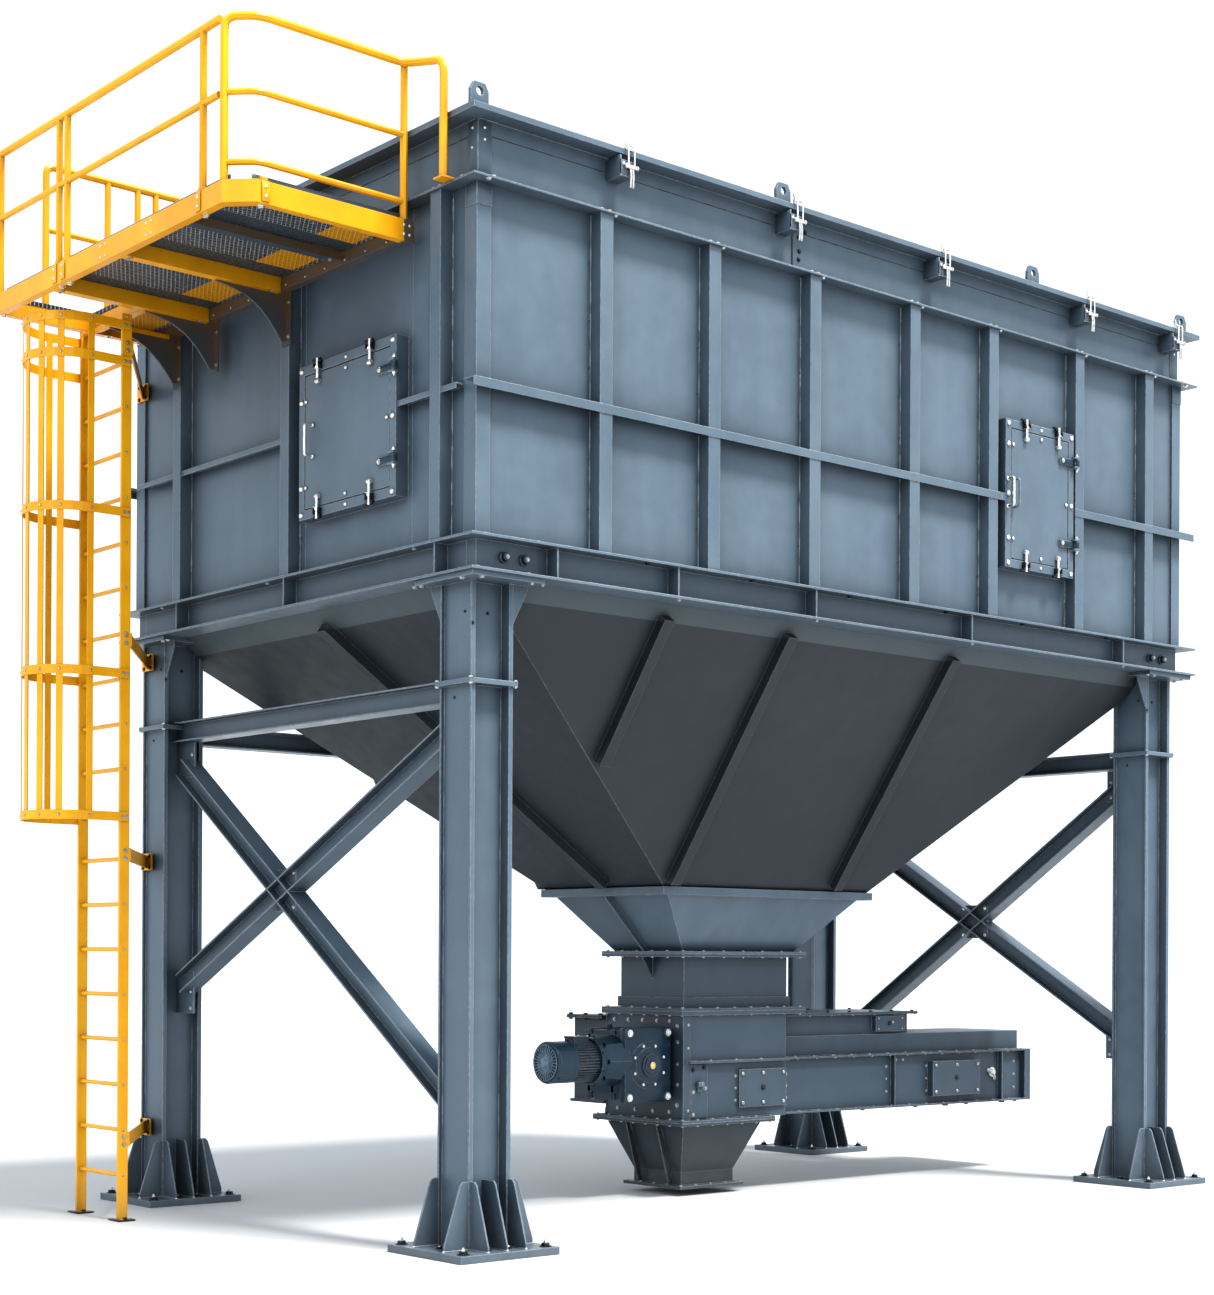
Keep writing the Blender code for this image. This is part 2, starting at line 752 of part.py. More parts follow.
FLANGE_OUT = 0.115
LID_OUT = 0.125
LID_FLANGE_T = 0.035
LID_PLATE_T = 0.012
LUG_X = (-3.525, -1.03, 1.56, 3.40)
LID_STIFFENERS = (-2.31, -1.155, 0.0, 1.155, 2.31)


def build_coaming():
    """The bin's top flange with the low wall that the lid sits on."""
    outer = centred(0, (BIN_X + FLANGE_OUT, BIN_Y + FLANGE_OUT))
    hole = centred(0, (BIN_X - PLATE, BIN_Y - PLATE))
    flange = plan_prism([outer, hole], BIN_TOP - 0.012, BIN_TOP)
    skirt_out = centred(0, (BIN_X, BIN_Y))
    skirt_in = centred(0, (BIN_X - PLATE + 0.001, BIN_Y - PLATE + 0.001))
    skirt = plan_prism([skirt_out, skirt_in], BIN_TOP - SINK, COAMING_TOP)
    node("coaming", [flange, skirt], SLATE_PAINT)


def lug_profile(x):
    """A lifting lug: an upright plate with cut corners."""
    return [(x - 0.065, LID_TOP - 0.010), (x + 0.065, LID_TOP - 0.010), (x + 0.065, LID_TOP + 0.085),
            (x + 0.040, LID_TOP + 0.130), (x - 0.040, LID_TOP + 0.130), (x - 0.065, LID_TOP + 0.085)]


def build_lid():
    """The clamped lid: a plate with a deep edge flange, a skirt and lifting lugs."""
    rim_out = centred(0, (BIN_X + LID_OUT, BIN_Y + LID_OUT))
    rim_in = centred(0, (BIN_X - 0.06, BIN_Y - 0.06))
    rim = plan_prism([rim_out, rim_in], LID_TOP - LID_FLANGE_T, LID_TOP)
    skirt_out = centred(0, (BIN_X, BIN_Y))
    skirt_in = centred(0, (BIN_X - PLATE, BIN_Y - PLATE))
    skirt = plan_prism([skirt_out, skirt_in], COAMING_TOP + GAP, LID_TOP - LID_FLANGE_T + SINK)
    plate = plan_prism([centred(0, (BIN_X - 0.05, BIN_Y - 0.05))], LID_TOP - 0.004 - LID_PLATE_T,
                       LID_TOP - 0.004)
    pieces = [rim, skirt, plate]
    for x in LID_STIFFENERS:
        pieces.append(box(x - 0.006, x + 0.006, -BIN_Y + 0.05, BIN_Y - 0.05,
                          LID_TOP - 0.010, LID_TOP + 0.040))
    holes = []
    for side in (-1, 1):
        y = side * (BIN_Y + 0.075)
        for x in LUG_X:
            pieces.append(front_prism([lug_profile(x)], y - 0.0125, y + 0.0125))
            holes.append(cylinder((x, y - 0.05, LID_TOP + 0.080), (x, y + 0.05, LID_TOP + 0.080),
                                  0.026, 16))
    node("lid", pieces, SLATE_PAINT, holes)


# Ring beam

def ring_section(face, out):
    """An I section whose web stands under the wall."""
    far = face + out * RING_OUT
    near = far - out * RING_FLANGE
    web = face - out * PLATE / 2
    low, high = RING_Z0, RING_Z1
    t = RING_FLANGE_T
    a = web + out * RING_WEB_T / 2
    b = web - out * RING_WEB_T / 2
    return [(far, low), (near, low), (near, low + t), (b, low + t), (b, high - t), (near, high - t),
            (near, high), (far, high), (far, high - t), (a, high - t), (a, low + t), (far, low + t)]


RING_STOPS_X = (-2.93, -1.95, -0.71, 0.88, 2.66)
RING_STOPS_Y = (-1.72, -0.07, 1.31)


def build_ring():
    end_x = BIN_X + RING_OUT
    flange_y = BIN_Y + RING_OUT - RING_FLANGE
    z0, z1 = RING_Z0 + RING_FLANGE_T - SINK, RING_Z1 - RING_FLANGE_T + SINK
    half = RING_STIFFENER_T / 2
    web_x = BIN_X - PLATE / 2
    for name, side in (("ring_beam_front", -1), ("ring_beam_back", 1)):
        face = side * BIN_Y
        beam = side_prism([ring_section(face, side)], -end_x, end_x)
        web = face - side * PLATE / 2
        reach = sorted((web - side * RING_WEB_T / 2 + side * 0.002, face + side * (RING_OUT - 0.012)))
        pieces = [beam]
        for x in RING_STOPS_X:
            pieces.append(box(x - half, x + half, reach[0], reach[1], z0, z1))
        inner = sorted((web, side * flange_y))
        for x in (-web_x, web_x):
            pieces.append(box(x - half, x + half, inner[0], inner[1], z0, z1))
        ends = [box(-end_x - 0.1, -web_x - half, min(face, web) - 0.02, max(face, web) + 0.02,
                    RING_Z0 + RING_FLANGE_T, RING_Z1 - RING_FLANGE_T),
                box(web_x + half, end_x + 0.1, min(face, web) - 0.02, max(face, web) + 0.02,
                    RING_Z0 + RING_FLANGE_T, RING_Z1 - RING_FLANGE_T)]
        node(name, pieces, SLATE_PAINT, ends)
    for name, side in (("ring_beam_left", -1), ("ring_beam_right", 1)):
        face = side * BIN_X
        beam = front_prism([ring_section(face, side)], -flange_y + GAP, flange_y - GAP)
        web = face - side * PLATE / 2
        reach = sorted((web - side * RING_WEB_T / 2 + side * 0.002, face + side * (RING_OUT - 0.012)))
        pieces = [beam]
        for y in RING_STOPS_Y:
            pieces.append(box(reach[0], reach[1], y - half, y + half, z0, z1))
        node(name, pieces, SLATE_PAINT)


# Columns

def base_gusset(root, reach):
    """A gusset outline: out from the column, height; its top corner is cut."""
    low = BASE_T - SINK
    top = BASE_T + BASE_GUSSET_H
    return [(-root, low), (reach, low), (reach, BASE_T + 0.030), (0.060, top - 0.020),
            (0.040, top), (-root, top)]


def cap_span(side_x, side_y):
    """The extent of a column's cap plate in X and in Y."""
    along = sorted((side_x * (BIN_X + CAP_OUT), side_x * (COLUMN_X - CAP_IN)))
    across = sorted((side_y * (BIN_Y + CAP_OUT), side_y * (COLUMN_Y - CAP_IN)))
    return along, across


def head_gusset(under):
    """A triangular gusset under the cap plate, measured out from the column's middle."""
    start, end = COLUMN_HALF - LIP_ROOT, COLUMN_HALF + 0.110
    return [(start, under - HEAD_GUSSET_H), (start, under + SINK), (end, under + SINK),
            (end, under - 0.030)]


def build_column(name, side_x, side_y):
    x, y = side_x * COLUMN_X, side_y * COLUMN_Y
    top = RING_Z0 - GAP
    shaft = plan_prism([column_outline(x, y)], BASE_T - SINK, top - CAP_T + SINK)
    base = box(x - BASE_HALF, x + BASE_HALF, y - BASE_HALF, y + BASE_HALF, 0, BASE_T)
    collar = collar_box(x, y)
    cap_x, cap_y = cap_span(side_x, side_y)
    cap = box(cap_x[0], cap_x[1], cap_y[0], cap_y[1], top - CAP_T, top)
    pieces = [shaft, base, collar, cap]
    reach = BASE_HALF - COLUMN_HALF - 0.035
    half = GUSSET_T / 2
    edge = COLUMN_HALF - FRONT_LIP / 2
    side_edge = COLUMN_HALF - SIDE_LIP / 2
    for out in (-1, 1):
        face_y = y + out * COLUMN_HALF
        for along, root in ((-edge, LIP_ROOT), (0.0, FRONT_RECESS + SINK), (edge, LIP_ROOT)):
            outline = [(face_y + out * u, z) for u, z in base_gusset(root, reach)]
            pieces.append(side_prism([outline], x + along - half, x + along + half))
        face_x = x + out * COLUMN_HALF
        outline = [(face_x + out * u, z) for u, z in base_gusset(LIP_ROOT, reach)]
        for along in (-side_edge, side_edge):
            pieces.append(front_prism([outline], y + along - half, y + along + half))
    in_x, in_y = -side_x, -side_y
    outline = [(x + in_x * u, z) for u, z in head_gusset(top - CAP_T)]
    plane = y + side_y * side_edge
    pieces.append(front_prism([outline], plane - half, plane + half))
    outline = [(y + in_y * u, z) for u, z in head_gusset(top - CAP_T)]
    plane = x + side_x * edge
    pieces.append(side_prism([outline], plane - half, plane + half))
    node(name, pieces, SLATE_PAINT)


def build_columns():
    for x_name, side_x in (("left", -1), ("right", 1)):
        for y_name, side_y in (("front", -1), ("back", 1)):
            build_column(f"column_{y_name}_{x_name}", side_x, side_y)


# Bracing

def build_brace(name, side_x):
    """Two I sections that cross between a front and a back column."""
    x = side_x * COLUMN_X
    reach = COLUMN_Y - COLUMN_HALF + FRONT_RECESS - GAP
    bar_end = COLUMN_Y - COLUMN_HALF - 0.045
    section = i_section(BRACE_DEPTH, BRACE_WIDTH, BRACE_T, BRACE_T)
    pieces = []
    falls = []
    for slope, low in zip((1, -1), BRACE_LOW_Z[name]):
        fall = (BRACE_HIGH_Z - low) / (2 * reach)
        falls.append(fall)
        inset = fall * (reach - bar_end)
        start = (x, -slope * bar_end, low + inset)
        end = (x, slope * bar_end, BRACE_HIGH_Z - inset)
        pieces.append(section_bar(section, start, end, (1, 0, 0)))
        for y, z in ((-slope * reach, low), (slope * reach, BRACE_HIGH_Z)):
            across = sorted((y, y - math.copysign(BRACE_PLATE_REACH, y)))
            top = min(z + BRACE_PLATE_HALF_H, STRUT_Z - BRACE_DEPTH / 2 - SINK)
            pieces.append(box(x - BRACE_PLATE_T / 2, x + BRACE_PLATE_T / 2, across[0], across[1],
                              z - BRACE_PLATE_HALF_H, top))
    y, z = crossing(falls, reach)
    half = CROSSING_PLATE_HALF
    pieces.append(box(x - CROSSING_PLATE_T / 2, x + CROSSING_PLATE_T / 2, y - half, y + half,
                      z - half, z + half))
    node(name, pieces, SLATE_PAINT)


def crossing(falls, reach):
    """Where the two bars of a brace meet, each falling from its high end at its own rate."""
    rise, fall = falls
    y = reach * (rise - fall) / (rise + fall)
    return y, BRACE_HIGH_Z - rise * (reach - y)


def collar_box(x, y, spare=0.0):
    """The square plate round a column."""
    ring = COLUMN_HALF + COLLAR_OUT + spare
    return box(x - ring, x + ring, y - ring, y + ring, COLLAR_Z - COLLAR_T - spare, COLLAR_Z + spare)


def build_struts():
    section = i_section(BRACE_DEPTH, BRACE_WIDTH, BRACE_T, BRACE_T)
    reach_y = COLUMN_Y - COLUMN_HALF + FRONT_RECESS - GAP
    reach_x = COLUMN_X - COLUMN_HALF + SIDE_RECESS - GAP
    for name, side_x in (("strut_left", -1), ("strut_right", 1)):
        x = side_x * COLUMN_X
        bar = section_bar(section, (x, -reach_y, STRUT_Z), (x, reach_y, STRUT_Z), (1, 0, 0))
        collars = [collar_box(x, y, GAP) for y in (-COLUMN_Y, COLUMN_Y)]
        node(name, [bar], SLATE_PAINT, collars)
    bar = section_bar(section, (-reach_x, COLUMN_Y, STRUT_Z), (reach_x, COLUMN_Y, STRUT_Z), (0, 1, 0))
    collars = [collar_box(x, COLUMN_Y, GAP) for x in (-COLUMN_X, COLUMN_X)]
    node("strut_back", [bar], SLATE_PAINT, collars)


# Hopper

HOPPER_TOP = (BIN_X + RING_OUT - RING_FLANGE - GAP, BIN_Y + RING_OUT - RING_FLANGE - GAP)
HOPPER_TOP_Z = RING_Z0 + RING_FLANGE_T


def hopper_corners(grow):
    """The four top and four bottom corners of the upper pyramid, grown or shrunk level."""
    top = (HOPPER_TOP[0] + grow, HOPPER_TOP[1] + grow)
    low = (JOINT_HALF[0] + grow, JOINT_HALF[1] + grow)
    upper = [Vector((u, v, HOPPER_TOP_Z)) for u, v in centred(0, top)]
    lower = [Vector((u, v, JOINT_Z)) for u, v in centred(OUTLET_X, low)]
    return upper, lower


def pull_in(points):
    """A face moved in from its two ends by a hair, so that plates don't touch at the corners."""
    a, b, c, d = points
    along = (b - a).normalized() * GAP
    return [a + along, b - along, c - along, d + along]


def hopper_face(corner):
    """The outer and inner faces of one plate, from one corner to the next."""
    after = (corner + 1) % 4
    faces = []
    for grow in (0.0, -HOPPER_T * 1.3):
        upper, lower = hopper_corners(grow)
        faces.append(pull_in([upper[corner], upper[after], lower[after], lower[corner]]))
    return faces


def slope_rib(top, low, side, outward):
    """A box rib lying on a sloping plate."""
    w = HOPPER_RIB_W / 2
    base = Vector(outward).normalized()
    outline = [(-w, -SINK), (w, -SINK), (w, HOPPER_RIB_D), (-w, HOPPER_RIB_D)]
    start, end = Vector(low), Vector(top)
    along = (end - start).normalized()
    across = Vector(side)
    if along.cross(across).dot(base) < 0:
        outline = [(u, -v) for u, v in outline]
    return section_bar(outline, start, end, side)


def on_slope(corner, u, share):
    """A point on a plate's outer face, at a coordinate along its edge and a share of the way down."""
    upper, lower = hopper_corners(0.0)
    after = (corner + 1) % 4
    axis = 0 if corner in (0, 2) else 1
    high = upper[corner] + (upper[after] - upper[corner]) * 0.5
    low = lower[corner] + (lower[after] - lower[corner]) * 0.5
    point = high.lerp(low, share)
    point[axis] = u
    return point


def face_normal(corner):
    outer = hopper_face(corner)[0]
    inner = hopper_face(corner)[1]
    normal = (outer[1] - outer[0]).cross(outer[2] - outer[0]).normalized()
    return normal if normal.dot(outer[0] - inner[0]) > 0 else -normal


def corner_share(corner, u):
    """How far down a rib at u runs before it meets the edge between two plates."""
    upper, lower = hopper_corners(0.0)
    after = (corner + 1) % 4
    axis = 0 if corner in (0, 2) else 1
    shares = []
    for edge in (corner, after):
        fall = lower[edge][axis] - upper[edge][axis]
        shares.append((u - upper[edge][axis]) / fall)
    inside = [share for share in shares if 0 < share < 1]
    return min(inside) if inside else 1.0


def column_notches():
    """Room for the four column heads and their cap plates in the corners of the hopper."""
    notches = []
    half = COLUMN_HALF + NOTCH_GAP
    for side_x in (-1, 1):
        for side_y in (-1, 1):
            x, y = side_x * COLUMN_X, side_y * COLUMN_Y
            notches.append(box(x - half, x + half, y - half, y + half, HOPPER_TOP_Z - 1, HOPPER_TOP_Z + 1))
            cap_x, cap_y = cap_span(side_x, side_y)
            notches.append(box(cap_x[0] - NOTCH_GAP, cap_x[1] + NOTCH_GAP, cap_y[0] - NOTCH_GAP,
                               cap_y[1] + NOTCH_GAP, RING_Z0 - GAP - CAP_T - NOTCH_GAP, RING_Z0 + 1))
    return notches


def build_hopper():
    plates = (("hopper_front", 0, HOPPER_RIBS), ("hopper_right", 1, HOPPER_SIDE_RIBS),
              ("hopper_back", 2, HOPPER_RIBS), ("hopper_left", 3, HOPPER_SIDE_RIBS))
    for name, corner, ribs in plates:
        outer, inner = hopper_face(corner)
        pieces = [hexahedron(outer, inner)]
        normal = face_normal(corner)
        side = (1, 0, 0) if corner in (0, 2) else (0, 1, 0)
        for u in ribs:
            low = min(corner_share(corner, u) - 0.03, 0.955)
            pieces.append(slope_rib(on_slope(corner, u, 0.045), on_slope(corner, u, low), side, normal))
        node(name, pieces, SLATE_PAINT, column_notches())


def shrunk(half, by):
    return (half[0] - by, half[1] - by)


def build_hopper_lower():
    """The lower pyramid with the angle ring on top, the neck flange below and two fins."""
    top_z = JOINT_Z - GAP
    low_z = NECK_TOP_Z - NECK_FLANGE_T / 2
    low_half = (NECK_HALF[0] + 0.030, NECK_HALF[1] + 0.024)
    shell = frustum(NECK_X, low_half, low_z, OUTLET_X, JOINT_HALF, top_z)
    wall = HOPPER_T * 1.3
    hollow = past_ends(NECK_X, shrunk(low_half, wall), low_z, OUTLET_X, shrunk(JOINT_HALF, wall), top_z)
    leg_half = (JOINT_HALF[0] + RING_LEG[0], JOINT_HALF[1] + RING_LEG[1])
    leg = plan_prism([centred(OUTLET_X, leg_half), centred(OUTLET_X, shrunk(JOINT_HALF, 0.022))],
                     top_z - 0.022, top_z - 0.010)
    lip = plan_prism([centred(OUTLET_X, leg_half), centred(OUTLET_X, shrunk(leg_half, RING_LIP_T))],
                     top_z - 0.015, top_z + 0.035)
    flange = plan_prism([centred(NECK_X, NECK_FLANGE_HALF), centred(NECK_X, shrunk(NECK_HALF, 0.012))],
                        NECK_TOP_Z - NECK_FLANGE_T, NECK_TOP_Z)
    pieces = [shell, leg, lip, flange]
    for side in (-1, 1):
        foot = NECK_X + side * (low_half[0] - 0.012)
        toe = NECK_X + side * (NECK_FLANGE_HALF[0] - 0.020)
        head = OUTLET_X + side * (JOINT_HALF[0] - 0.012)
        fin = [(foot, NECK_TOP_Z - SINK), (toe, NECK_TOP_Z - SINK), (head + side * 0.065, top_z - 0.018),
               (head, top_z - 0.018)]
        pieces.append(front_prism([fin], -FIN_HALF_T, FIN_HALF_T))
    node("hopper_lower", pieces, SLATE_PAINT, [hollow])


def past_ends(x_low, half_low, z_low, x_high, half_high, z_high, past=0.05):
    """The hollow of a tapered shell, carried on along its slopes past both ends."""
    step = past / (z_high - z_low)
    low = [a - (b - a) * step for a, b in zip(half_low, half_high)]
    high = [b + (b - a) * step for a, b in zip(half_low, half_high)]
    lean = (x_high - x_low) * step
    return frustum(x_low - lean, low, z_low - past, x_high + lean, high, z_high + past)


def build_neck():
    """The straight neck between the hopper and the feeder."""
    top_z = NECK_TOP_Z - NECK_FLANGE_T - GAP
    inner = shrunk(NECK_HALF, PLATE)
    bore = centred(NECK_X, shrunk(inner, -0.005))
    rim = centred(NECK_X, NECK_FLANGE_HALF)
    tube_wall = plan_prism([centred(NECK_X, NECK_HALF), centred(NECK_X, inner)], NECK_BOTTOM_Z + 0.001,
                           top_z - 0.001)
    upper = plan_prism([rim, bore], top_z - FLANGE_T, top_z)
    lower = plan_prism([rim, bore], NECK_BOTTOM_Z, NECK_BOTTOM_Z + FLANGE_T)
    band = plan_prism([centred(NECK_X, shrunk(NECK_HALF, -0.018)), bore], NECK_BOTTOM_Z + 0.015,
                      NECK_BOTTOM_Z + 0.100)
    pieces = [tube_wall, upper, lower, band]
    for side in (-1, 1):
        root = NECK_X + side * (NECK_HALF[0] - SINK)
        toe = NECK_X + side * (NECK_FLANGE_HALF[0] - 0.010)
        fin = [(root, top_z - 0.190), (root, top_z - 0.012), (toe, top_z - 0.012), (toe, top_z - 0.035)]
        pieces.append(front_prism([fin], -FIN_HALF_T, FIN_HALF_T))
    node("neck", pieces, SLATE_PAINT)


# Feeder

def side_slab(side, face, out, x, z):
    """A flat piece on a side wall: sunk a little, and standing out from the wall's face."""
    y = sorted((side * (face - SINK), side * (face + out)))
    return box(x[0], x[1], y[0], y[1], z[0], z[1])


def build_feeder():
    """The feeder head: a closed housing between the neck and the chute."""
    body = box(FEEDER_X0, FEEDER_X1, -FEEDER_Y, FEEDER_Y, FEEDER_Z0 - 0.005, FEEDER_Z1 + 0.005)
    top = plan_prism([centred(NECK_X, NECK_FLANGE_HALF)], FEEDER_Z1, NECK_BOTTOM_Z - GAP)
    foot = plan_prism([centred(CHUTE_X, CHUTE_FLANGE_HALF)], FEEDER_Z0 - FLANGE_T, FEEDER_Z0)
    pieces = [body, top, foot]
    for side in (-1, 1):
        pieces.append(side_slab(side, FEEDER_Y, 0.008, (FEEDER_X0 - 0.008, FEEDER_X0 + 0.062),
                                (FEEDER_Z0 - 0.004, FEEDER_Z1 + 0.004)))
        pieces.append(side_slab(side, FEEDER_Y, 0.012, (FEEDER_X0 + 0.064, FEEDER_X0 + 0.235),
                                (FEEDER_Z0 + 0.012, CASING_TOP - 0.030)))
        pieces.append(side_slab(side, FEEDER_Y, 0.045, (FEEDER_X0 + 0.030, FEEDER_X1),
                                (CASING_TOP - 0.018, CASING_TOP - 0.002)))
    pieces.append(side_slab(-1, FEEDER_Y, 0.022, *FEEDER_HATCH))
    tail_room = box(TAIL_X[0] - 0.060, TAIL_X[1] + 0.060, FEEDER_Y, FEEDER_Y + 0.100,
                    TAIL_Z[0] - 0.050, FEEDER_Z1 - 0.001)
    node("feeder_head", pieces, SLATE_PAINT, [tail_room])


def build_tail():
    """The feeder's tail housing, behind the head."""
    y0 = FEEDER_Y + GAP
    low, high = TAIL_Z
    out = TAIL_COVER_OUT
    body = box(*TAIL_X, y0, TAIL_Y1, low, high)
    cover = box(TAIL_X[0] - out, TAIL_X[1] + out, y0, TAIL_Y1 + out, high - 0.002, high + TAIL_COVER_T)
    sole = box(TAIL_X[0] - out / 2, TAIL_X[1] + out / 2, y0, TAIL_Y1 + out / 2, low - 0.020, low + 0.002)
    node("feeder_tail", [body, cover, sole], SLATE_PAINT)


def build_casing():
    """The conveyor casing: a trough with flanges, a stepped cover and an end frame."""
    x0 = FEEDER_X1 + GAP
    y = CASING_Y
    lip = CASING_FLANGE_Y
    frame = ring_outline((-lip + 0.001, lip - 0.001), (FEEDER_Z0 + 0.001, CASING_TOP - 0.001), 0.045)
    pieces = [box(x0, CASING_END - 0.050, -y, y, FEEDER_Z0 + SINK, CASING_TOP - SINK),
              box(x0, CASING_END, -lip, lip, CASING_TOP - CASING_FLANGE_T, CASING_TOP),
              box(x0, CASING_END, -lip, lip, FEEDER_Z0, FEEDER_Z0 + CASING_FLANGE_T),
              side_prism(frame, CASING_END - 0.001 - CASING_END_FRAME, CASING_END - 0.001),
              box(x0, STEP_END, -y + 0.035, y - 0.035, CASING_TOP - SINK, STEP_Z),
              box(x0, HOOD_END, -y + 0.065, y - 0.065, STEP_Z - SINK, HOOD_Z),
              box(x0, ROOF_END, -y + 0.020, y - 0.020, HOOD_Z - SINK, HOOD_Z - SINK + ROOF_T)]
    for x in CASING_JOINTS:
        pieces.append(box(x - 0.006, x + 0.006, -lip + 0.006, lip - 0.006, FEEDER_Z0 + 0.006,
                          CASING_TOP - 0.006))
    for side in (-1, 1):
        pieces.append(side_slab(side, y, lip - y + 0.010, *CASING_HATCH))
        pieces.append(side_slab(side, y - 0.065, 0.045, *HOOD_DOOR))
    node("conveyor_casing", pieces, SLATE_PAINT)


def build_chute():
    """The discharge chute under the feeder: a taper and a straight spout, open below."""
    top_z = FEEDER_Z0 - FLANGE_T - GAP
    spout_z = CHUTE_FOOT_Z + CHUTE_SPOUT_H
    wall = PLATE * 1.1
    shell = frustum(CHUTE_X, CHUTE_BOTTOM_HALF, spout_z, CHUTE_X, CHUTE_TOP_HALF, top_z - 0.005)
    spout = plan_prism([centred(CHUTE_X, CHUTE_BOTTOM_HALF)], CHUTE_FOOT_Z + 0.012, spout_z + 0.001)
    taper_hollow = past_ends(CHUTE_X, shrunk(CHUTE_BOTTOM_HALF, wall), spout_z, CHUTE_X,
                             shrunk(CHUTE_TOP_HALF, wall), top_z - 0.005)
    spout_hollow = plan_prism([centred(CHUTE_X, shrunk(CHUTE_BOTTOM_HALF, wall))], CHUTE_FOOT_Z - 0.05,
                              spout_z + 0.030)
    upper = plan_prism([centred(CHUTE_X, CHUTE_FLANGE_HALF)], top_z - FLANGE_T, top_z)
    foot = plan_prism([centred(CHUTE_X, CHUTE_FOOT_HALF)], CHUTE_FOOT_Z, CHUTE_FOOT_Z + CHUTE_FOOT_T)
    pieces = [shell, spout, upper, foot]
    for side in (-1, 1):
        low = CHUTE_X + side * (CHUTE_BOTTOM_HALF[0] - SINK)
        high = CHUTE_X + side * (CHUTE_TOP_HALF[0] - 0.012)
        fin = [(low, CHUTE_FOOT_Z + 0.015), (low + side * 0.045, CHUTE_FOOT_Z + 0.015),
               (high + side * 0.047, top_z - 0.012), (high, top_z - 0.012)]
        for y in (-CHUTE_FIN_Y, CHUTE_FIN_Y):
            pieces.append(front_prism([fin], y - 0.006, y + 0.006))
    node("discharge_chute", pieces, SLATE_PAINT, [taper_hollow, spout_hollow])


# Drive

def along_x(x0, x1, y, z, radius, sides=32, end_radius=None):
    return cylinder((x0, y, z), (x1, y, z), radius, sides, end_radius)


def build_gearbox():
    """The gearbox on the feeder's end, its bearing boss and the adapter towards the motor."""
    x0, x1 = GEARBOX_X
    front = GEARBOX_Y[0]
    middle = (x0 + x1) / 2
    boss = cylinder((middle, front + 0.010, DRIVE_Z), (middle, front - 0.025, DRIVE_Z), BOSS_R, 32)
    hub = cylinder((middle, front, DRIVE_Z), (middle, front - 0.050, DRIVE_Z), HUB_R, 32)
    seat = along_x(x1 - 0.010, FEEDER_X0 - 0.008 - GAP, SEAT_Y, DRIVE_Z, SEAT_R)
    adapter = along_x(x0 + 0.010, x0 - ADAPTER_LENGTH, MOTOR_Y, MOTOR_Z, ADAPTER_R[0], 8, ADAPTER_R[1])
    node("gearbox", [box(*GEARBOX_X, *GEARBOX_Y, *GEARBOX_Z), boss, hub, seat, adapter], DARK_PAINT)


def build_motor():
    """The drive motor with its fan cowl and terminal box."""
    start = GEARBOX_X[0] - ADAPTER_LENGTH - GAP
    flange = along_x(start, start - 0.020, MOTOR_Y, MOTOR_Z, MOTOR_R + 0.004)
    body = along_x(start - 0.010, MOTOR_END + COWL_LENGTH - 0.010, MOTOR_Y, MOTOR_Z, MOTOR_R - 0.014)
    cowl = along_x(MOTOR_END + COWL_LENGTH, MOTOR_END, MOTOR_Y, MOTOR_Z, MOTOR_R)
    terminals = box(start - 0.200, start - 0.070, MOTOR_Y - 0.055, MOTOR_Y + 0.055, MOTOR_Z + 0.100,
                    MOTOR_Z + 0.175)
    node("drive_motor", [flange, body, cowl, terminals], DARK_PAINT)


# Platform

def platform_outline(inset):
    """The deck's outline, with a cut corner at its front left, moved in by an inset."""
    cut = DECK_CHAMFER + inset * 0.4
    return [(DECK_X1, DECK_Y0 + inset), (DECK_X0 + cut + inset * 0.6, DECK_Y0 + inset),
            (DECK_X0 + inset, DECK_Y0 + cut + inset * 0.6), (DECK_X0 + inset, DECK_Y1 - inset),
            (DECK_X1, DECK_Y1 - inset)]


def bracket_outline():
    """A wall bracket: a triangle with a hollow long side, its top edge let into the frame."""
    root, under = DECK_X1 - BRACKET_T, DECK_Z - EDGE_H
    foot = Vector((root - 0.035, under - BRACKET_DROP + 0.020))
    tip = Vector((root - BRACKET_REACH, under - 0.006))
    curve = []
    for step in range(9):
        t = step / 8
        along = foot.lerp(tip, t)
        bow = math.sin(math.pi * t) * 0.075
        curve.append((along.x + bow * 0.5, along.y + bow * 0.87))
    return [(tip.x, under + 0.030), (root + SINK, under + 0.030), (root + SINK, foot.y)] + curve


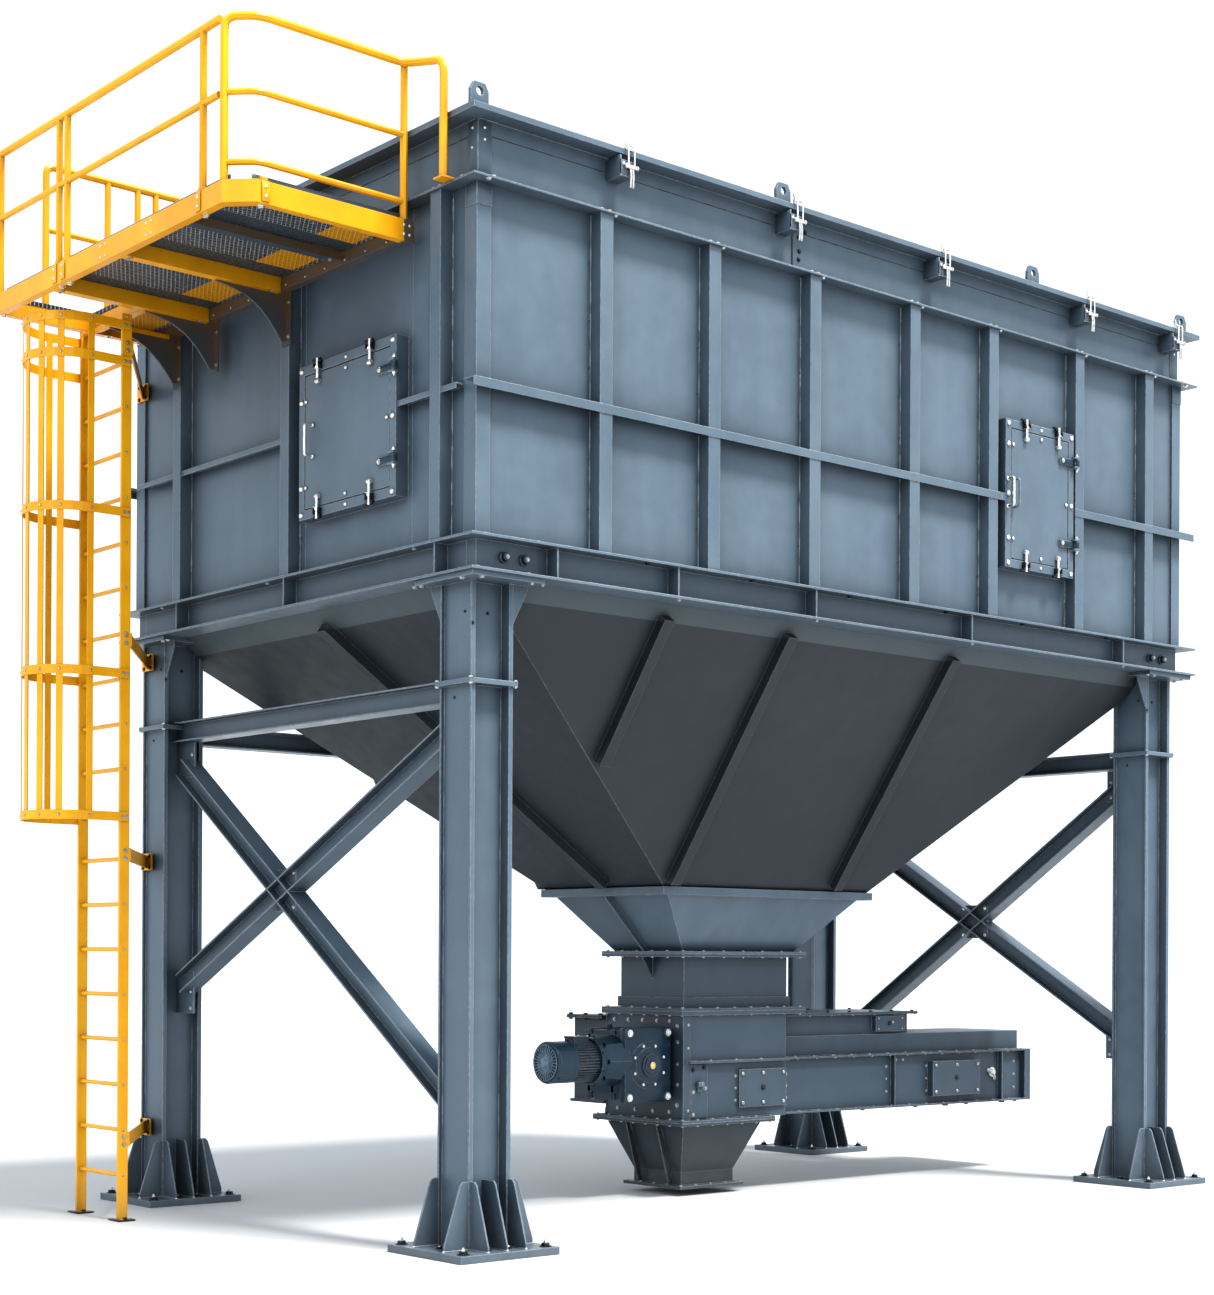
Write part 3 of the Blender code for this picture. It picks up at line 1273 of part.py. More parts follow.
def build_platform():
    """The yellow frame under the deck and its wall brackets, then the deck with its hatch."""
    z0 = DECK_Z - EDGE_H
    under_deck = DECK_Z - DECK_T - GAP
    inside_x = (DECK_X0 + EDGE_T - SINK, DECK_X1 - EDGE_T)
    inside_y = (DECK_Y0 + EDGE_T - SINK, DECK_Y1 - EDGE_T + SINK)
    half = BEAM_W / 2
    pieces = [plan_prism([platform_outline(0.0) + list(reversed(platform_outline(EDGE_T)))], z0, DECK_Z),
              box(DECK_X1 - 0.060, DECK_X1 - 0.001, *inside_y, z0 + 0.020, under_deck)]
    for y in CROSS_BEAMS:
        pieces.append(box(*inside_x, y - half, y + half, z0 + 0.004, under_deck - 0.001))
    hatch_beam = LADDER_X + HATCH_EDGE
    pieces.append(box(hatch_beam, hatch_beam + 0.060, CROSS_BEAMS[1], inside_y[1], z0 + 0.006,
                      under_deck - 0.002))
    pieces.append(box(*inside_x, LIGHT_BEAM_Y - 0.030, LIGHT_BEAM_Y + 0.030, z0 + 0.040,
                      under_deck - 0.003))
    for y in BRACKET_YS:
        pieces.append(front_prism([bracket_outline()], y - BRACKET_T / 2, y + BRACKET_T / 2))
        pieces.append(box(DECK_X1 - BRACKET_T, DECK_X1 - 0.0005, y - 0.050, y + 0.050,
                          z0 - BRACKET_DROP, z0 + 0.060))
    node("platform_frame", pieces, YELLOW_PAINT)

    deck_edge = platform_outline(EDGE_T + 2 * GAP)
    hatch = rectangle(HATCH_X0, hatch_beam - 0.005, LADDER_Y - HATCH_HALF,
                      LADDER_Y + HATCH_HALF - HATCH_EDGE)
    deck = plan_prism([deck_edge, hatch], DECK_Z - DECK_T, DECK_Z - 0.002)
    node("platform_deck", [deck], DARK_PAINT)


def upright(x, y, foot, head=RAIL_TOP):
    """A guard rail's post."""
    return tube([(x, y, foot), (x, y, head)], POST_R)


def build_outer_rail():
    """The long guard rail, with a splice between two close posts."""
    foot = DECK_Z + GAP
    x = DECK_X0 + RAIL_INSET
    near = DECK_Y0 + DECK_CHAMFER + RAIL_INSET + 2 * RAIL_R
    far = DECK_Y1 - RAIL_INSET
    pieces = [upright(x, y, foot) for y in OUTER_POSTS + (far,)]
    for z, radius in ((RAIL_TOP, RAIL_R), (RAIL_MID, MID_RAIL_R)):
        pieces.append(tube([(x, near, z), (x, far + POST_R, z)], radius))
    node("guard_rail_outer", pieces, YELLOW_PAINT)


def build_front_rail():
    """The guard rail over the cut corner and the front edge, on to a post on the bin's flange."""
    foot = DECK_Z + GAP
    corner_x, corner_y = DECK_X0 + RAIL_INSET, DECK_Y0 + DECK_CHAMFER + RAIL_INSET
    turn_x, y = DECK_X0 + DECK_CHAMFER + RAIL_INSET, DECK_Y0 + RAIL_INSET
    end_x, end_y = FRONT_POST_END
    last_top = RAIL_TOP - FRONT_RAIL_FALL
    flange = BIN_TOP + GAP
    top = [(corner_x, corner_y, foot), (corner_x, corner_y, RAIL_TOP), (turn_x, y, RAIL_TOP),
           (end_x, y, RAIL_TOP), (end_x, end_y, last_top), (end_x, end_y, flange + SINK)]
    pieces = [tube(bent(top, 0.075, 5), RAIL_R),
              upright(end_x, y, foot),
              box(end_x - 0.040, end_x + 0.090, end_y - 0.045, end_y + 0.045, flange, flange + 0.010)]
    for z in (RAIL_MID, RAIL_LOW):
        route = [(corner_x, corner_y, z), (turn_x, y, z), (end_x, y, z)]
        pieces.append(tube(bent(route, 0.050, 4), MID_RAIL_R))
    node("guard_rail_front", pieces, YELLOW_PAINT)


def build_back_rail():
    """The guard rail of the back edge; its top rail runs on to a post on the lid."""
    foot = DECK_Z + GAP
    start_x, end_x = BACK_POSTS[0], DECK_X1 - 0.055
    y = DECK_Y1 - RAIL_INSET
    top = [(start_x, y, foot), (start_x, y, RAIL_TOP), (BACK_RAIL_END, y, RAIL_TOP),
           (BACK_RAIL_END, y, LID_TOP + GAP)]
    pieces = [tube(bent(top, 0.060, 5), RAIL_R),
              tube([(start_x, y, RAIL_MID), (end_x, y, RAIL_MID)], MID_RAIL_R)]
    pieces += [upright(x, y, foot) for x in BACK_POSTS[1:] + (end_x,)]
    node("guard_rail_back", pieces, YELLOW_PAINT)


# Ladder

COLUMN_STAYS = (("ladder_stay_low", 0.53), ("ladder_stay_middle", 2.43), ("ladder_stay_head", 3.86))
WALL_STAY_Z = 5.80


def build_ladder():
    """Two flat stringers with their feet and rungs, then the stays to the bunker."""
    top = DECK_Z - EDGE_H - 0.012
    half_w, half_t = STRINGER_W / 2, STRINGER_T / 2
    pieces = []
    for side in (-1, 1):
        y = LADDER_Y + side * LADDER_HALF
        pieces.append(box(LADDER_X - half_w, LADDER_X + half_w, y - half_t, y + half_t, 0, top))
        pieces.append(box(LADDER_X - half_w + 0.001, LADDER_X + half_w - 0.001, y - 0.055, y + 0.055,
                          0, 0.012))
    reach = LADDER_HALF - half_t + SINK
    for number in range(1, RUNG_COUNT + 1):
        z = number * RUNG_PITCH
        pieces.append(cylinder((LADDER_X, LADDER_Y - reach, z), (LADDER_X, LADDER_Y + reach, z),
                               RUNG_R, 10))
    node("ladder", pieces, YELLOW_PAINT)
    for name, z in COLUMN_STAYS:
        stay(name, z, -COLUMN_X - COLUMN_HALF - GAP, COLUMN_Y + COLUMN_HALF)
    stay("ladder_stay_wall", WALL_STAY_Z, -BIN_X - POST_T - 2 * GAP, BIN_Y)


def stay(name, z, wall_x, edge_y):
    """A flat arm from the near stringer back to a foot plate on a column or a corner post."""
    half_arm, half_foot = STAY_H / 2, STAY_FOOT_H / 2
    near = LADDER_Y - LADDER_HALF
    heel = LADDER_X + STRINGER_W / 2 + GAP
    foot_x = wall_x - STAY_T
    foot_y = edge_y - STAY_FOOT_W / 2
    plan = [(heel, near - STRINGER_T / 2), (heel + STAY_T, near - STRINGER_T / 2),
            (heel + STAY_T, near + STRINGER_T / 2), (foot_x + SINK, foot_y - STAY_T / 2),
            (foot_x + SINK, foot_y + STAY_T / 2), (heel, near + STRINGER_T / 2 + STAY_T / 2)]
    foot = box(foot_x, wall_x, edge_y - STAY_FOOT_W, edge_y, z - half_foot, z + half_foot)
    node(name, [plan_prism([plan], z - half_arm, z + half_arm), foot], YELLOW_PAINT)


def hoop_outline(grow):
    """A U in plan: two straight arms from the stringers and a half circle, moved out by grow."""
    half = LADDER_HALF + STRINGER_T / 2 + GAP + grow
    end_x = LADDER_X + 0.030
    middle_x = LADDER_X - CAGE_DEPTH + LADDER_HALF + STRINGER_T / 2
    arc = []
    for step in range(17):
        angle = math.pi / 2 + math.pi * step / 16
        arc.append((middle_x + half * math.cos(angle), LADDER_Y + half * math.sin(angle)))
    return [(end_x, LADDER_Y + half)] + arc + [(end_x, LADDER_Y - half)]


def build_cage():
    """The hoops round the climber and the flats that tie them."""
    band = hoop_outline(CAGE_BAR) + list(reversed(hoop_outline(0.0)))
    pieces = [plan_prism([band], z - HOOP_H / 2, z + HOOP_H / 2) for z in HOOP_LEVELS]
    half = LADDER_HALF + STRINGER_T / 2 + GAP
    middle_x = LADDER_X - CAGE_DEPTH + LADDER_HALF + STRINGER_T / 2
    low, high = HOOP_LEVELS[0] - HOOP_H / 2 + 0.004, HOOP_LEVELS[-1] + HOOP_H / 2 - 0.004
    for degrees in CAGE_FLATS:
        angle = math.radians(degrees)
        outward = Vector((math.cos(angle), math.sin(angle), 0))
        centre = Vector((middle_x, LADDER_Y, 0)) + outward * (half - 0.001)
        flat = [(-0.022, -0.004), (0.022, -0.004), (0.022, 0.004), (-0.022, 0.004)]
        start, end = Vector(centre), Vector(centre)
        start.z, end.z = low, high
        pieces.append(section_bar(flat, start, end, (-outward.y, outward.x, 0)))
    node("ladder_cage", pieces, YELLOW_PAINT)


clear_scene()
JOINS = []
PARTS = new_collection("coal_bunker")
CUTTERS = new_collection("cutters")
CUTTERS.hide_render = True
FRAME = bpy.data.objects.new("bunker_frame", None)
FRAME.location = (-CENTRE_X, 0, 0)
PARTS.objects.link(FRAME)
SLATE_PAINT = paint("slate_paint", SLATE, 0.42, 0.0)
DARK_PAINT = paint("drive_paint", DARK_SLATE, 0.40, 0.0)
YELLOW_PAINT = paint("safety_yellow", YELLOW, 0.38, 0.0)

build_walls()
build_doors()
build_coaming()
build_lid()
build_ring()
build_columns()
for brace_name, brace_side in (("brace_left", -1), ("brace_right", 1)):
    build_brace(brace_name, brace_side)
build_struts()
build_hopper()
build_hopper_lower()
build_neck()
build_feeder()
build_tail()
build_casing()
build_chute()
build_gearbox()
build_motor()
build_platform()
build_outer_rail()
build_front_rail()
build_back_rail()
build_ladder()
build_cage()
join_all()
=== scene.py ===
"""Looks of the coal bunker: paints, fasteners, latches, clamps, welds, the drive's details and the
platform's grating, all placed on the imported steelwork.

Metres, +Z up. Places below are measured from the middle of the bin, and every piece is moved along
X by BIN_MIDDLE as it is made. New shapes are stacks of rings worked out as whole arrays.
"""

import json
import math
from functools import partial

import bpy
import numpy as np
from mathutils import Matrix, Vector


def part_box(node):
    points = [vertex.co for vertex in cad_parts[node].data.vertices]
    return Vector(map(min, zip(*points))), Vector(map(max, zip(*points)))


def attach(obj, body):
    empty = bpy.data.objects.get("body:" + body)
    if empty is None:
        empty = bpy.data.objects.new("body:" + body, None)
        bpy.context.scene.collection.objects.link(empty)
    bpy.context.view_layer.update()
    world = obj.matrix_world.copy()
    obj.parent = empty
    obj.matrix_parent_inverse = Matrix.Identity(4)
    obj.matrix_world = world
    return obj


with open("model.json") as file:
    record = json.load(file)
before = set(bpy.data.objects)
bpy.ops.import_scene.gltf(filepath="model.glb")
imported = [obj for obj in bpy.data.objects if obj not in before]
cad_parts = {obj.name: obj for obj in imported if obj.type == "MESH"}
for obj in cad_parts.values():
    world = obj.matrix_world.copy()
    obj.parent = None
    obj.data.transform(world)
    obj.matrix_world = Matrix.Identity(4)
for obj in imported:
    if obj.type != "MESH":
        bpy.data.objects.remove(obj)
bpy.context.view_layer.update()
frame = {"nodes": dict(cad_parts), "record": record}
NODES = frame["nodes"]

# Shift from the middle of the bin to the frame's own origin
BIN_MIDDLE = (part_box("back_wall")[0].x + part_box("back_wall")[1].x) / 2

# Steelwork that the pieces below stand on
WALL_Y = 2.00
WALL_X = 3.47
FRONT_RIBS = np.array((-2.605, -1.697, -0.778, 0.213, 1.060, 2.060, 2.930))
# The number of the rib beside the front door, which leaves no room for pins
DOOR_RIB = 5
SIDE_RIBS = np.array((-1.764, -0.120, 1.267))
RING_LOW = 4.01
RING_HIGH = 4.225
RING_FOOT = 3.9795
MID_RIB_Z = 5.125
FLANGE_Z = 6.30
FLANGE_Y = 2.115
FLANGE_X = 3.585
LID_Z = 6.70
LID_EDGE = 2.125
COLUMN = (3.31, 1.80)
COLUMN_HALF = 0.155
BASE_TOP = 0.045
COLLAR_Z = 3.40
STRUT_TOP = 3.4205

FRONT = (0, -1, 0)
LEFT = (-1, 0, 0)
RIGHT = (1, 0, 0)
UP = (0, 0, 1)
DOWN = (0, 0, -1)
SIDES = (-1, 1)
CORNERS = ((-1, -1), (-1, 1), (1, -1), (1, 1))
# Creases sharper than this many degrees stay crisp: on hexagon heads, on small ones, elsewhere
HEX_CREASE = 25
HEAD_CREASE = 30
CREASE = 40


# Shapes: every one is an array of rings, each running anticlockwise about the way they are stacked

AROUND = np.arange(12) * math.pi / 6
ROUND = np.ones(12)
HEX = np.where(np.arange(12) % 2, math.cos(math.pi / 6), 1.0)


def turned(levels):
    """A turned shape: ring k has radius r_k times its outline, at height h_k, for unit sizes."""
    rings = []
    for radius, height, outline in levels:
        across = radius * outline
        rings.append(np.stack((across * np.cos(AROUND), across * np.sin(AROUND),
                               np.full(12, height)), -1))
    return np.array(rings)


HEX_BOLT = turned(((1.45, 0, ROUND), (1.45, 0.16, ROUND), (1.0, 0.16, HEX), (1.0, 0.74, HEX),
                   (0.82, 0.86, HEX)))
ROUND_HEAD = turned(((1.0, 0, ROUND), (1.0, 0.14, ROUND), (0.93, 0.44, ROUND), (0.68, 0.70, ROUND),
                     (0.32, 0.82, ROUND)))
STUD_NUT = turned(((1.5, 0, ROUND), (1.5, 0.16, ROUND), (1.0, 0.16, HEX), (1.0, 0.95, HEX),
                   (0.56, 0.97, ROUND), (0.56, 1.75, ROUND), (0.44, 1.85, ROUND)))


def frames(axes, hint=(0.13, 0.21, 0.97)):
    """For each axis a turned frame: rows are two square directions and the axis itself."""
    axes = np.atleast_2d(np.array(axes, float))
    axes = axes / np.linalg.norm(axes, axis=1, keepdims=True)
    hints = np.where(np.abs(axes @ np.array(hint))[:, None] > 0.9, (0.97, 0.13, 0.21), hint)
    first = np.cross(hints, axes)
    first /= np.linalg.norm(first, axis=1, keepdims=True)
    return np.stack((first, np.cross(axes, first), axes), 1)


def spread(template, places, axes, size):
    """Copies of a unit shape: each point is place + size * (template point in its own frame)."""
    places = np.atleast_2d(np.array(places, float))
    turns = np.broadcast_to(frames(axes), (len(places), 3, 3))
    size = np.broadcast_to(np.array(size, float), (len(places),))
    copies = np.einsum("kab,rnb->krna", np.swapaxes(turns, 1, 2), template)
    return list(copies * size[:, None, None, None] + places[:, None, None, :])


def grid(u, v, w):
    """Every place with a u, a v and a w of the given numbers or lists."""
    return np.array(np.meshgrid(u, v, w, indexing="ij"), float).reshape(3, -1).T


def hexes(u, v, w, axis, size):
    """Hexagon heads at every place of a grid."""
    return spread(HEX_BOLT, grid(u, v, w), axis, size)


def domes(u, v, w, axis, size):
    """Round heads at every place of a grid."""
    return spread(ROUND_HEAD, grid(u, v, w), axis, size)


def carried(path, outline, up=UP):
    """An outline carried along a path: point = path(s) + u * side(s) + v * top(s), where side is
    square to up and to the way of travel."""
    path = np.array(path, float)
    along = np.gradient(path, axis=0)
    along /= np.linalg.norm(along, axis=1, keepdims=True)
    side = np.cross(np.array(up, float), along)
    side /= np.linalg.norm(side, axis=1, keepdims=True)
    top = np.cross(along, side)
    outline = np.array(outline, float)
    if outline.ndim == 2:
        outline = np.broadcast_to(outline, (len(path), *outline.shape))
    return path[:, None] + outline[..., :1] * side[:, None] + outline[..., 1:] * top[:, None]


def circle(radius, sides=12):
    angle = np.arange(sides) * 2 * math.pi / sides
    return np.stack((radius * np.cos(angle), radius * np.sin(angle)), -1)


def oblong(half_u, half_v, ease):
    """A rectangle with rounded corners, three points to a corner."""
    angle = np.radians((0, 45, 90, 90, 135, 180, 180, 225, 270, 270, 315, 360))
    corner = np.repeat(((1, 1), (-1, 1), (-1, -1), (1, -1)), 3, axis=0)
    arc = ease * np.stack((np.cos(angle), np.sin(angle)), -1)
    return corner * (np.array((half_u, half_v)) - ease) + arc


def bar(start, end, share, radii, sides):
    """A round bar from start to end, with radius r at each share of its length."""
    start, end = np.array(start, float), np.array(end, float)
    rise, length = abs((end - start)[2]), np.linalg.norm(end - start)
    path = start + (end - start) * share[:, None]
    outline = circle(1, sides)[None] * radii[:, None, None]
    return carried(path, outline, UP if rise < 0.9 * length else FRONT)


def rod(start, end, radius, sides=12, ease=0.15):
    """A round bar with eased ends: radius r(s) draws in over the first and the last bit."""
    length = math.dist(start, end)
    trim = min(radius * ease, length * 0.2) / length
    radii = np.array((1 - ease, 1, 1, 1 - ease)) * radius
    return bar(start, end, np.array((0, trim, 1 - trim, 1)), radii, sides)


def lathe(levels, axis, sides=40, way="X"):
    """A turned shape round an axis along X, or along Y: each level is a place and a radius."""
    path = [(at, *axis) if way == "X" else (axis[0], at, axis[1]) for at, _ in levels]
    reach = np.array([radius for _, radius in levels])
    return carried(path, circle(1, sides)[None] * reach[:, None, None])


def slab(low, high, ease=0.003):
    """A plate with eased edges: a rounded rectangle in plan, drawn in by the ease at both ends."""
    low, high = np.minimum(low, high).astype(float), np.maximum(low, high).astype(float)
    middle, half = (low + high) / 2, (high - low) / 2
    ease = min(ease, 0.4 * half.min())
    rings = []
    for z, inset in ((-half[2], ease), (ease - half[2], 0), (half[2] - ease, 0), (half[2], ease)):
        plan = oblong(half[0] - inset * 0.7, half[1] - inset * 0.7, ease * 0.8)
        rings.append(np.column_stack((plan, np.full(12, z))) + middle)
    return np.array(rings)


def rounded(points, radius, steps=5):
    """A route whose inner corners are replaced by quadratic arcs."""
    points = np.array(points, float)
    route = [points[0]]
    share = np.linspace(0, 1, steps + 1)[:, None]
    for before, corner, after in zip(points, points[1:], points[2:]):
        enter = corner + radius * (before - corner) / np.linalg.norm(before - corner)
        leave = corner + radius * (after - corner) / np.linalg.norm(after - corner)
        route.extend(enter * (1 - share) ** 2 + corner * 2 * share * (1 - share)
                     + leave * share ** 2)
    route.append(points[-1])
    return np.array(route)


def bead(start, end, radius=0.005, pitch=0.018, stitch=0.0):
    """A weld bead: a round ridge from start to end whose radius ripples along its length, and dips
    away between stitches where there are any."""
    length = np.linalg.norm(np.subtract(end, start))
    share = np.linspace(0, 1, max(int(length / pitch), 4))
    turn = share * len(share)
    ripple = 1 + 0.22 * np.sin(turn * 2.4) + 0.12 * np.sin(turn * 0.9 + np.sum(start))
    if stitch:
        ripple *= np.where(np.sin(share * length * 2 * math.pi / stitch) > -0.3, 1.0, 0.35)
    return bar(start, end, share, radius * ripple, 6)


def piece(name, shapes, finish, body="bunker", slot="slate_paint", angle=CREASE):
    """Skins every stack of rings: quads from ring to ring, and a cap on either end."""
    points, quads, caps, base = [], [], [], 0
    for rings in shapes:
        rows, around = rings.shape[:2]
        row, column = np.meshgrid(np.arange(rows - 1), np.arange(around), indexing="ij")
        after = (column + 1) % around
        quads.append(base + np.stack((row * around + column, row * around + after,
                                      (row + 1) * around + after, (row + 1) * around + column),
                                     -1).reshape(-1, 4))
        caps.append((base + np.arange(around)[::-1]).tolist())
        caps.append((base + (rows - 1) * around + np.arange(around)).tolist())
        points.append(rings.reshape(-1, 3))
        base += rows * around
    points = np.concatenate(points) + (BIN_MIDDLE, 0, 0)
    mesh = bpy.data.meshes.new(name)
    mesh.from_pydata(points.tolist(), [], np.concatenate(quads).tolist() + caps)
    mesh.shade_smooth()
    mesh.set_sharp_from_angle(angle=math.radians(angle))
    mesh.materials.append(finish)
    made = bpy.data.objects.new(name, mesh)
    bpy.context.scene.collection.objects.link(made)
    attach(made, body)
    return made


drive_piece = partial(piece, slot="drive_paint")
yellow_piece = partial(piece, slot="safety_yellow")


# Finishes

def operator(operation, swapped=False):
    """A method that adds one Math node, with its two values the other way round if swapped."""
    def work(self, other):
        return self.step(operation, *((other, self) if swapped else (self, other)))
    return work


class Value:
    """A shader socket that can stand in sums; each step adds one Math node."""

    __add__, __radd__ = operator("ADD"), operator("ADD", True)
    __sub__, __rsub__ = operator("SUBTRACT"), operator("SUBTRACT", True)
    __mul__, __rmul__ = operator("MULTIPLY"), operator("MULTIPLY", True)
    most, least = operator("MAXIMUM"), operator("MINIMUM")

    def __init__(self, finish, socket):
        self.finish = finish
        self.socket = socket

    def step(self, operation, *values):
        inputs = dict(enumerate(values))
        return self.finish.add("ShaderNodeMath", {"operation": operation}, inputs)

    def between(self, low, high, ease=0.002):
        """One where the value lies from low to high, nought elsewhere."""
        rise = self.finish.band(self, low - ease, low)
        return rise * self.finish.band(self, high, high + ease, 1.0, 0.0)

    def weave(self, period):
        """Rises from nought to one and falls again over each period."""
        return self.step("PINGPONG", self, period / 2) * (2 / period)


class Finish:
    """One material: its nodes, and the patterns that the paints share."""

    def __init__(self, name, colour, roughness, metallic=0.0, coat=0.0):
        self.material = bpy.data.materials.new(name)
        self.material.use_nodes = True
        self.tree = self.material.node_tree
        self.shader = self.tree.nodes["Principled BSDF"]
        self.wear("Base Color", (*colour, 1.0))
        self.wear("Roughness", roughness)
        self.wear("Metallic", metallic)
        self.wear("Coat Weight", coat)
        self.wear("Coat Roughness", 0.25)
        self.wear("Specular IOR Level", 0.5 if metallic else 0.30)
        self.place = self.add("ShaderNodeTexCoord", output="Object")

    def feed(self, socket, value):
        if isinstance(value, Value):
            self.tree.links.new(value.socket, socket)
        else:
            socket.default_value = value

    def wear(self, socket, value):
        self.feed(self.shader.inputs[socket], value)

    def add(self, kind, settings=None, inputs=None, output=0):
        made = self.tree.nodes.new(kind)
        for key, value in (settings or {}).items():
            setattr(made, key, value)
        for key, value in (inputs or {}).items():
            self.feed(made.inputs[key], value)
        return Value(self, made.outputs[output])

    def noise(self, scale, detail=2.0, stretch=None):
        where = self.place
        if stretch:
            inputs = {"Vector": where, "Scale": stretch}
            where = self.add("ShaderNodeMapping", {"vector_type": "POINT"}, inputs)
        inputs = {"Vector": where, "Scale": scale, "Detail": detail}
        return self.add("ShaderNodeTexNoise", {"noise_dimensions": "3D"}, inputs)

    def band(self, value, low, high, start=0.0, end=1.0):
        """A smooth climb from start to end as the value goes from low to high."""
        inputs = {"Value": value, "From Min": low, "From Max": high, "To Min": start, "To Max": end}
        return self.add("ShaderNodeMapRange", {"interpolation_type": "SMOOTHSTEP"}, inputs)

    def along(self, axis):
        """Where a point lies along X, Y or Z: X from the middle of the bin, Z from the floor."""
        value = self.add("ShaderNodeSeparateXYZ", None, {"Vector": self.place}, axis)
        return value - BIN_MIDDLE if axis == "X" else value

    def blend(self, share, first, second):
        first = first if isinstance(first, Value) else (*first, 1.0)
        second = second if isinstance(second, Value) else (*second, 1.0)
        inputs = {"Factor": share, 6: first, 7: second}
        return self.add("ShaderNodeMix", {"data_type": "RGBA"}, inputs, 2)

    def edges(self, soft):
        """How far the softened normal leans away from the face: 0 on flats, more at corners. It
        places the pale edges, partly worn paint and partly a painted highlight.
        """
        face = self.add("ShaderNodeNewGeometry", output="Normal")
        inputs = {0: soft, 1: face}
        lean = self.add("ShaderNodeVectorMath", {"operation": "DOT_PRODUCT"}, inputs, "Value")
        return self.band(1.0 - lean, 0.006, 0.15)

    def painted_recess_shade(self):
        """One on open faces, falling towards nought in recesses: the mask of the painted shade that
        darkens recesses and the gaps between parts.
        """
        inputs = {"Distance": 0.28}
        open_sky = self.add("ShaderNodeAmbientOcclusion", {"samples": 2}, inputs, "AO")
        return self.band(open_sky, 0.20, 0.90, 0.16, 1.0)

    def bump(self, height, strength, distance, normal=None):
        inputs = {"Height": height, "Strength": strength, "Distance": distance}
        if normal:
            inputs["Normal"] = normal
        return self.add("ShaderNodeBump", None, inputs)


def paint(name, colour, light, dark, roughness, edge=1.0, cast=False, other=None,
          round_off=0.008):
    """Sprayed paint on steel: cloudy tone, faint runs down the plate, dust low down, painted shade
    in recesses and between parts, pale edges that are partly worn paint and partly a painted
    highlight, and an orange-peel skin. A second pair of colours can take over in a region."""
    made = Finish(name, colour, roughness, 0.0, 0.05)
    cloud = made.noise(0.9, 4.0)
    mottle = made.noise(7.0, 3.0)
    grain = made.noise(160.0)
    runs = made.noise(6.0, stretch=(1.0, 1.0, 0.08))
    tone = 0.50 * cloud + 0.22 * mottle + 0.18 * runs + 0.10 * grain
    clouded = made.band(tone, 0.36, 0.64)
    base = made.blend(clouded, dark, light)
    if other:
        region, other_light, other_dark = other
        base = made.blend(region(made), base, made.blend(clouded, other_dark, other_light))
    soft = made.add("ShaderNodeBevel", {"samples": 2}, {"Radius": round_off})
    lean = made.edges(soft)
    chips = made.band(made.noise(38.0, 3.0), 0.36, 0.62, 0.45, 1.0)
    # Painted shade: recesses and gaps between parts darken towards a fifth of the colour.
    base = made.blend(made.painted_recess_shade(), [c * 0.22 for c in colour], base)
    # Pale edges: partly worn paint where the chips fall, partly a painted highlight on every edge.
    base = made.blend(lean * chips * edge, base, [c * 0.40 + 0.50 for c in colour])
    dust = made.band(made.along("Z"), 0.0, 0.55, 0.30, 0.0) * mottle
    made.wear("Base Color", made.blend(dust, base, [c * 0.6 + 0.16 for c in colour]))
    made.wear("Roughness", made.band(0.6 * mottle + 0.4 * cloud, 0.3, 0.7, roughness - 0.07,
                                     roughness + 0.09))
    if cast:
        skin = made.bump(made.noise(90.0, 4.0), 0.35, 0.003, soft)
    else:
        skin = made.bump(0.7 * made.noise(1.3, 1.0) + 0.012 * grain, 0.25, 0.010, soft)
    made.wear("Normal", skin)
    return made.material


def metal(name, colour, dull, roughness):
    """Bright or blackened steel: rubbed tone and fine scratches in the roughness."""
    made = Finish(name, colour, roughness, 0.9)
    rub = made.noise(55.0, 3.0)
    made.wear("Base Color", made.blend(made.band(rub, 0.35, 0.70), colour, dull))
    made.wear("Roughness", made.band(made.noise(240.0), 0.3, 0.7, roughness - 0.06,
                                     roughness + 0.10))
    made.wear("Normal", made.bump(rub, 0.15, 0.001))
    return made.material


def bracket_region(made):
    """The platform's slate parts: all under the edge channel, the beam on the wall and the light
    cross beam."""
    low = made.band(made.along("Z"), 6.026, 6.029, 1.0, 0.0)
    x = made.along("X")
    wall_side = made.band(x, -3.641, -3.638)
    light_beam = made.along("Y").between(-0.835, -0.765) * made.band(x, -4.748, -4.745)
    return low.most(wall_side).most(light_beam)


def top_band(made):
    """The hopper's rim plate: a strip right under the ring beam, painted lighter, with less of the
    painted shade that darkens the hopper's plates.
    """
    return made.band(made.along("Z"), 3.905, 3.909)


# Each paint: its own colour, a lighter and a darker tone of it, and its roughness
SLATE_PAINT = paint("slate_paint", (0.098, 0.136, 0.172), (0.111, 0.152, 0.190),
                    (0.084, 0.118, 0.152), 0.40)
# Painted shade: darker copies of the slate for the neck, the feeder's head and the casing, and
# darker still for the feeder's tail and the chute, for the shade under the bin.
OUTLET_SHADE_PAINT = paint("outlet_shade_paint", (0.052, 0.076, 0.102), (0.060, 0.086, 0.114),
                     (0.044, 0.066, 0.089), 0.42)
CHUTE_SHADE_PAINT = paint("chute_shade_paint", (0.034, 0.048, 0.060), (0.040, 0.055, 0.068),
                    (0.028, 0.040, 0.051), 0.46)
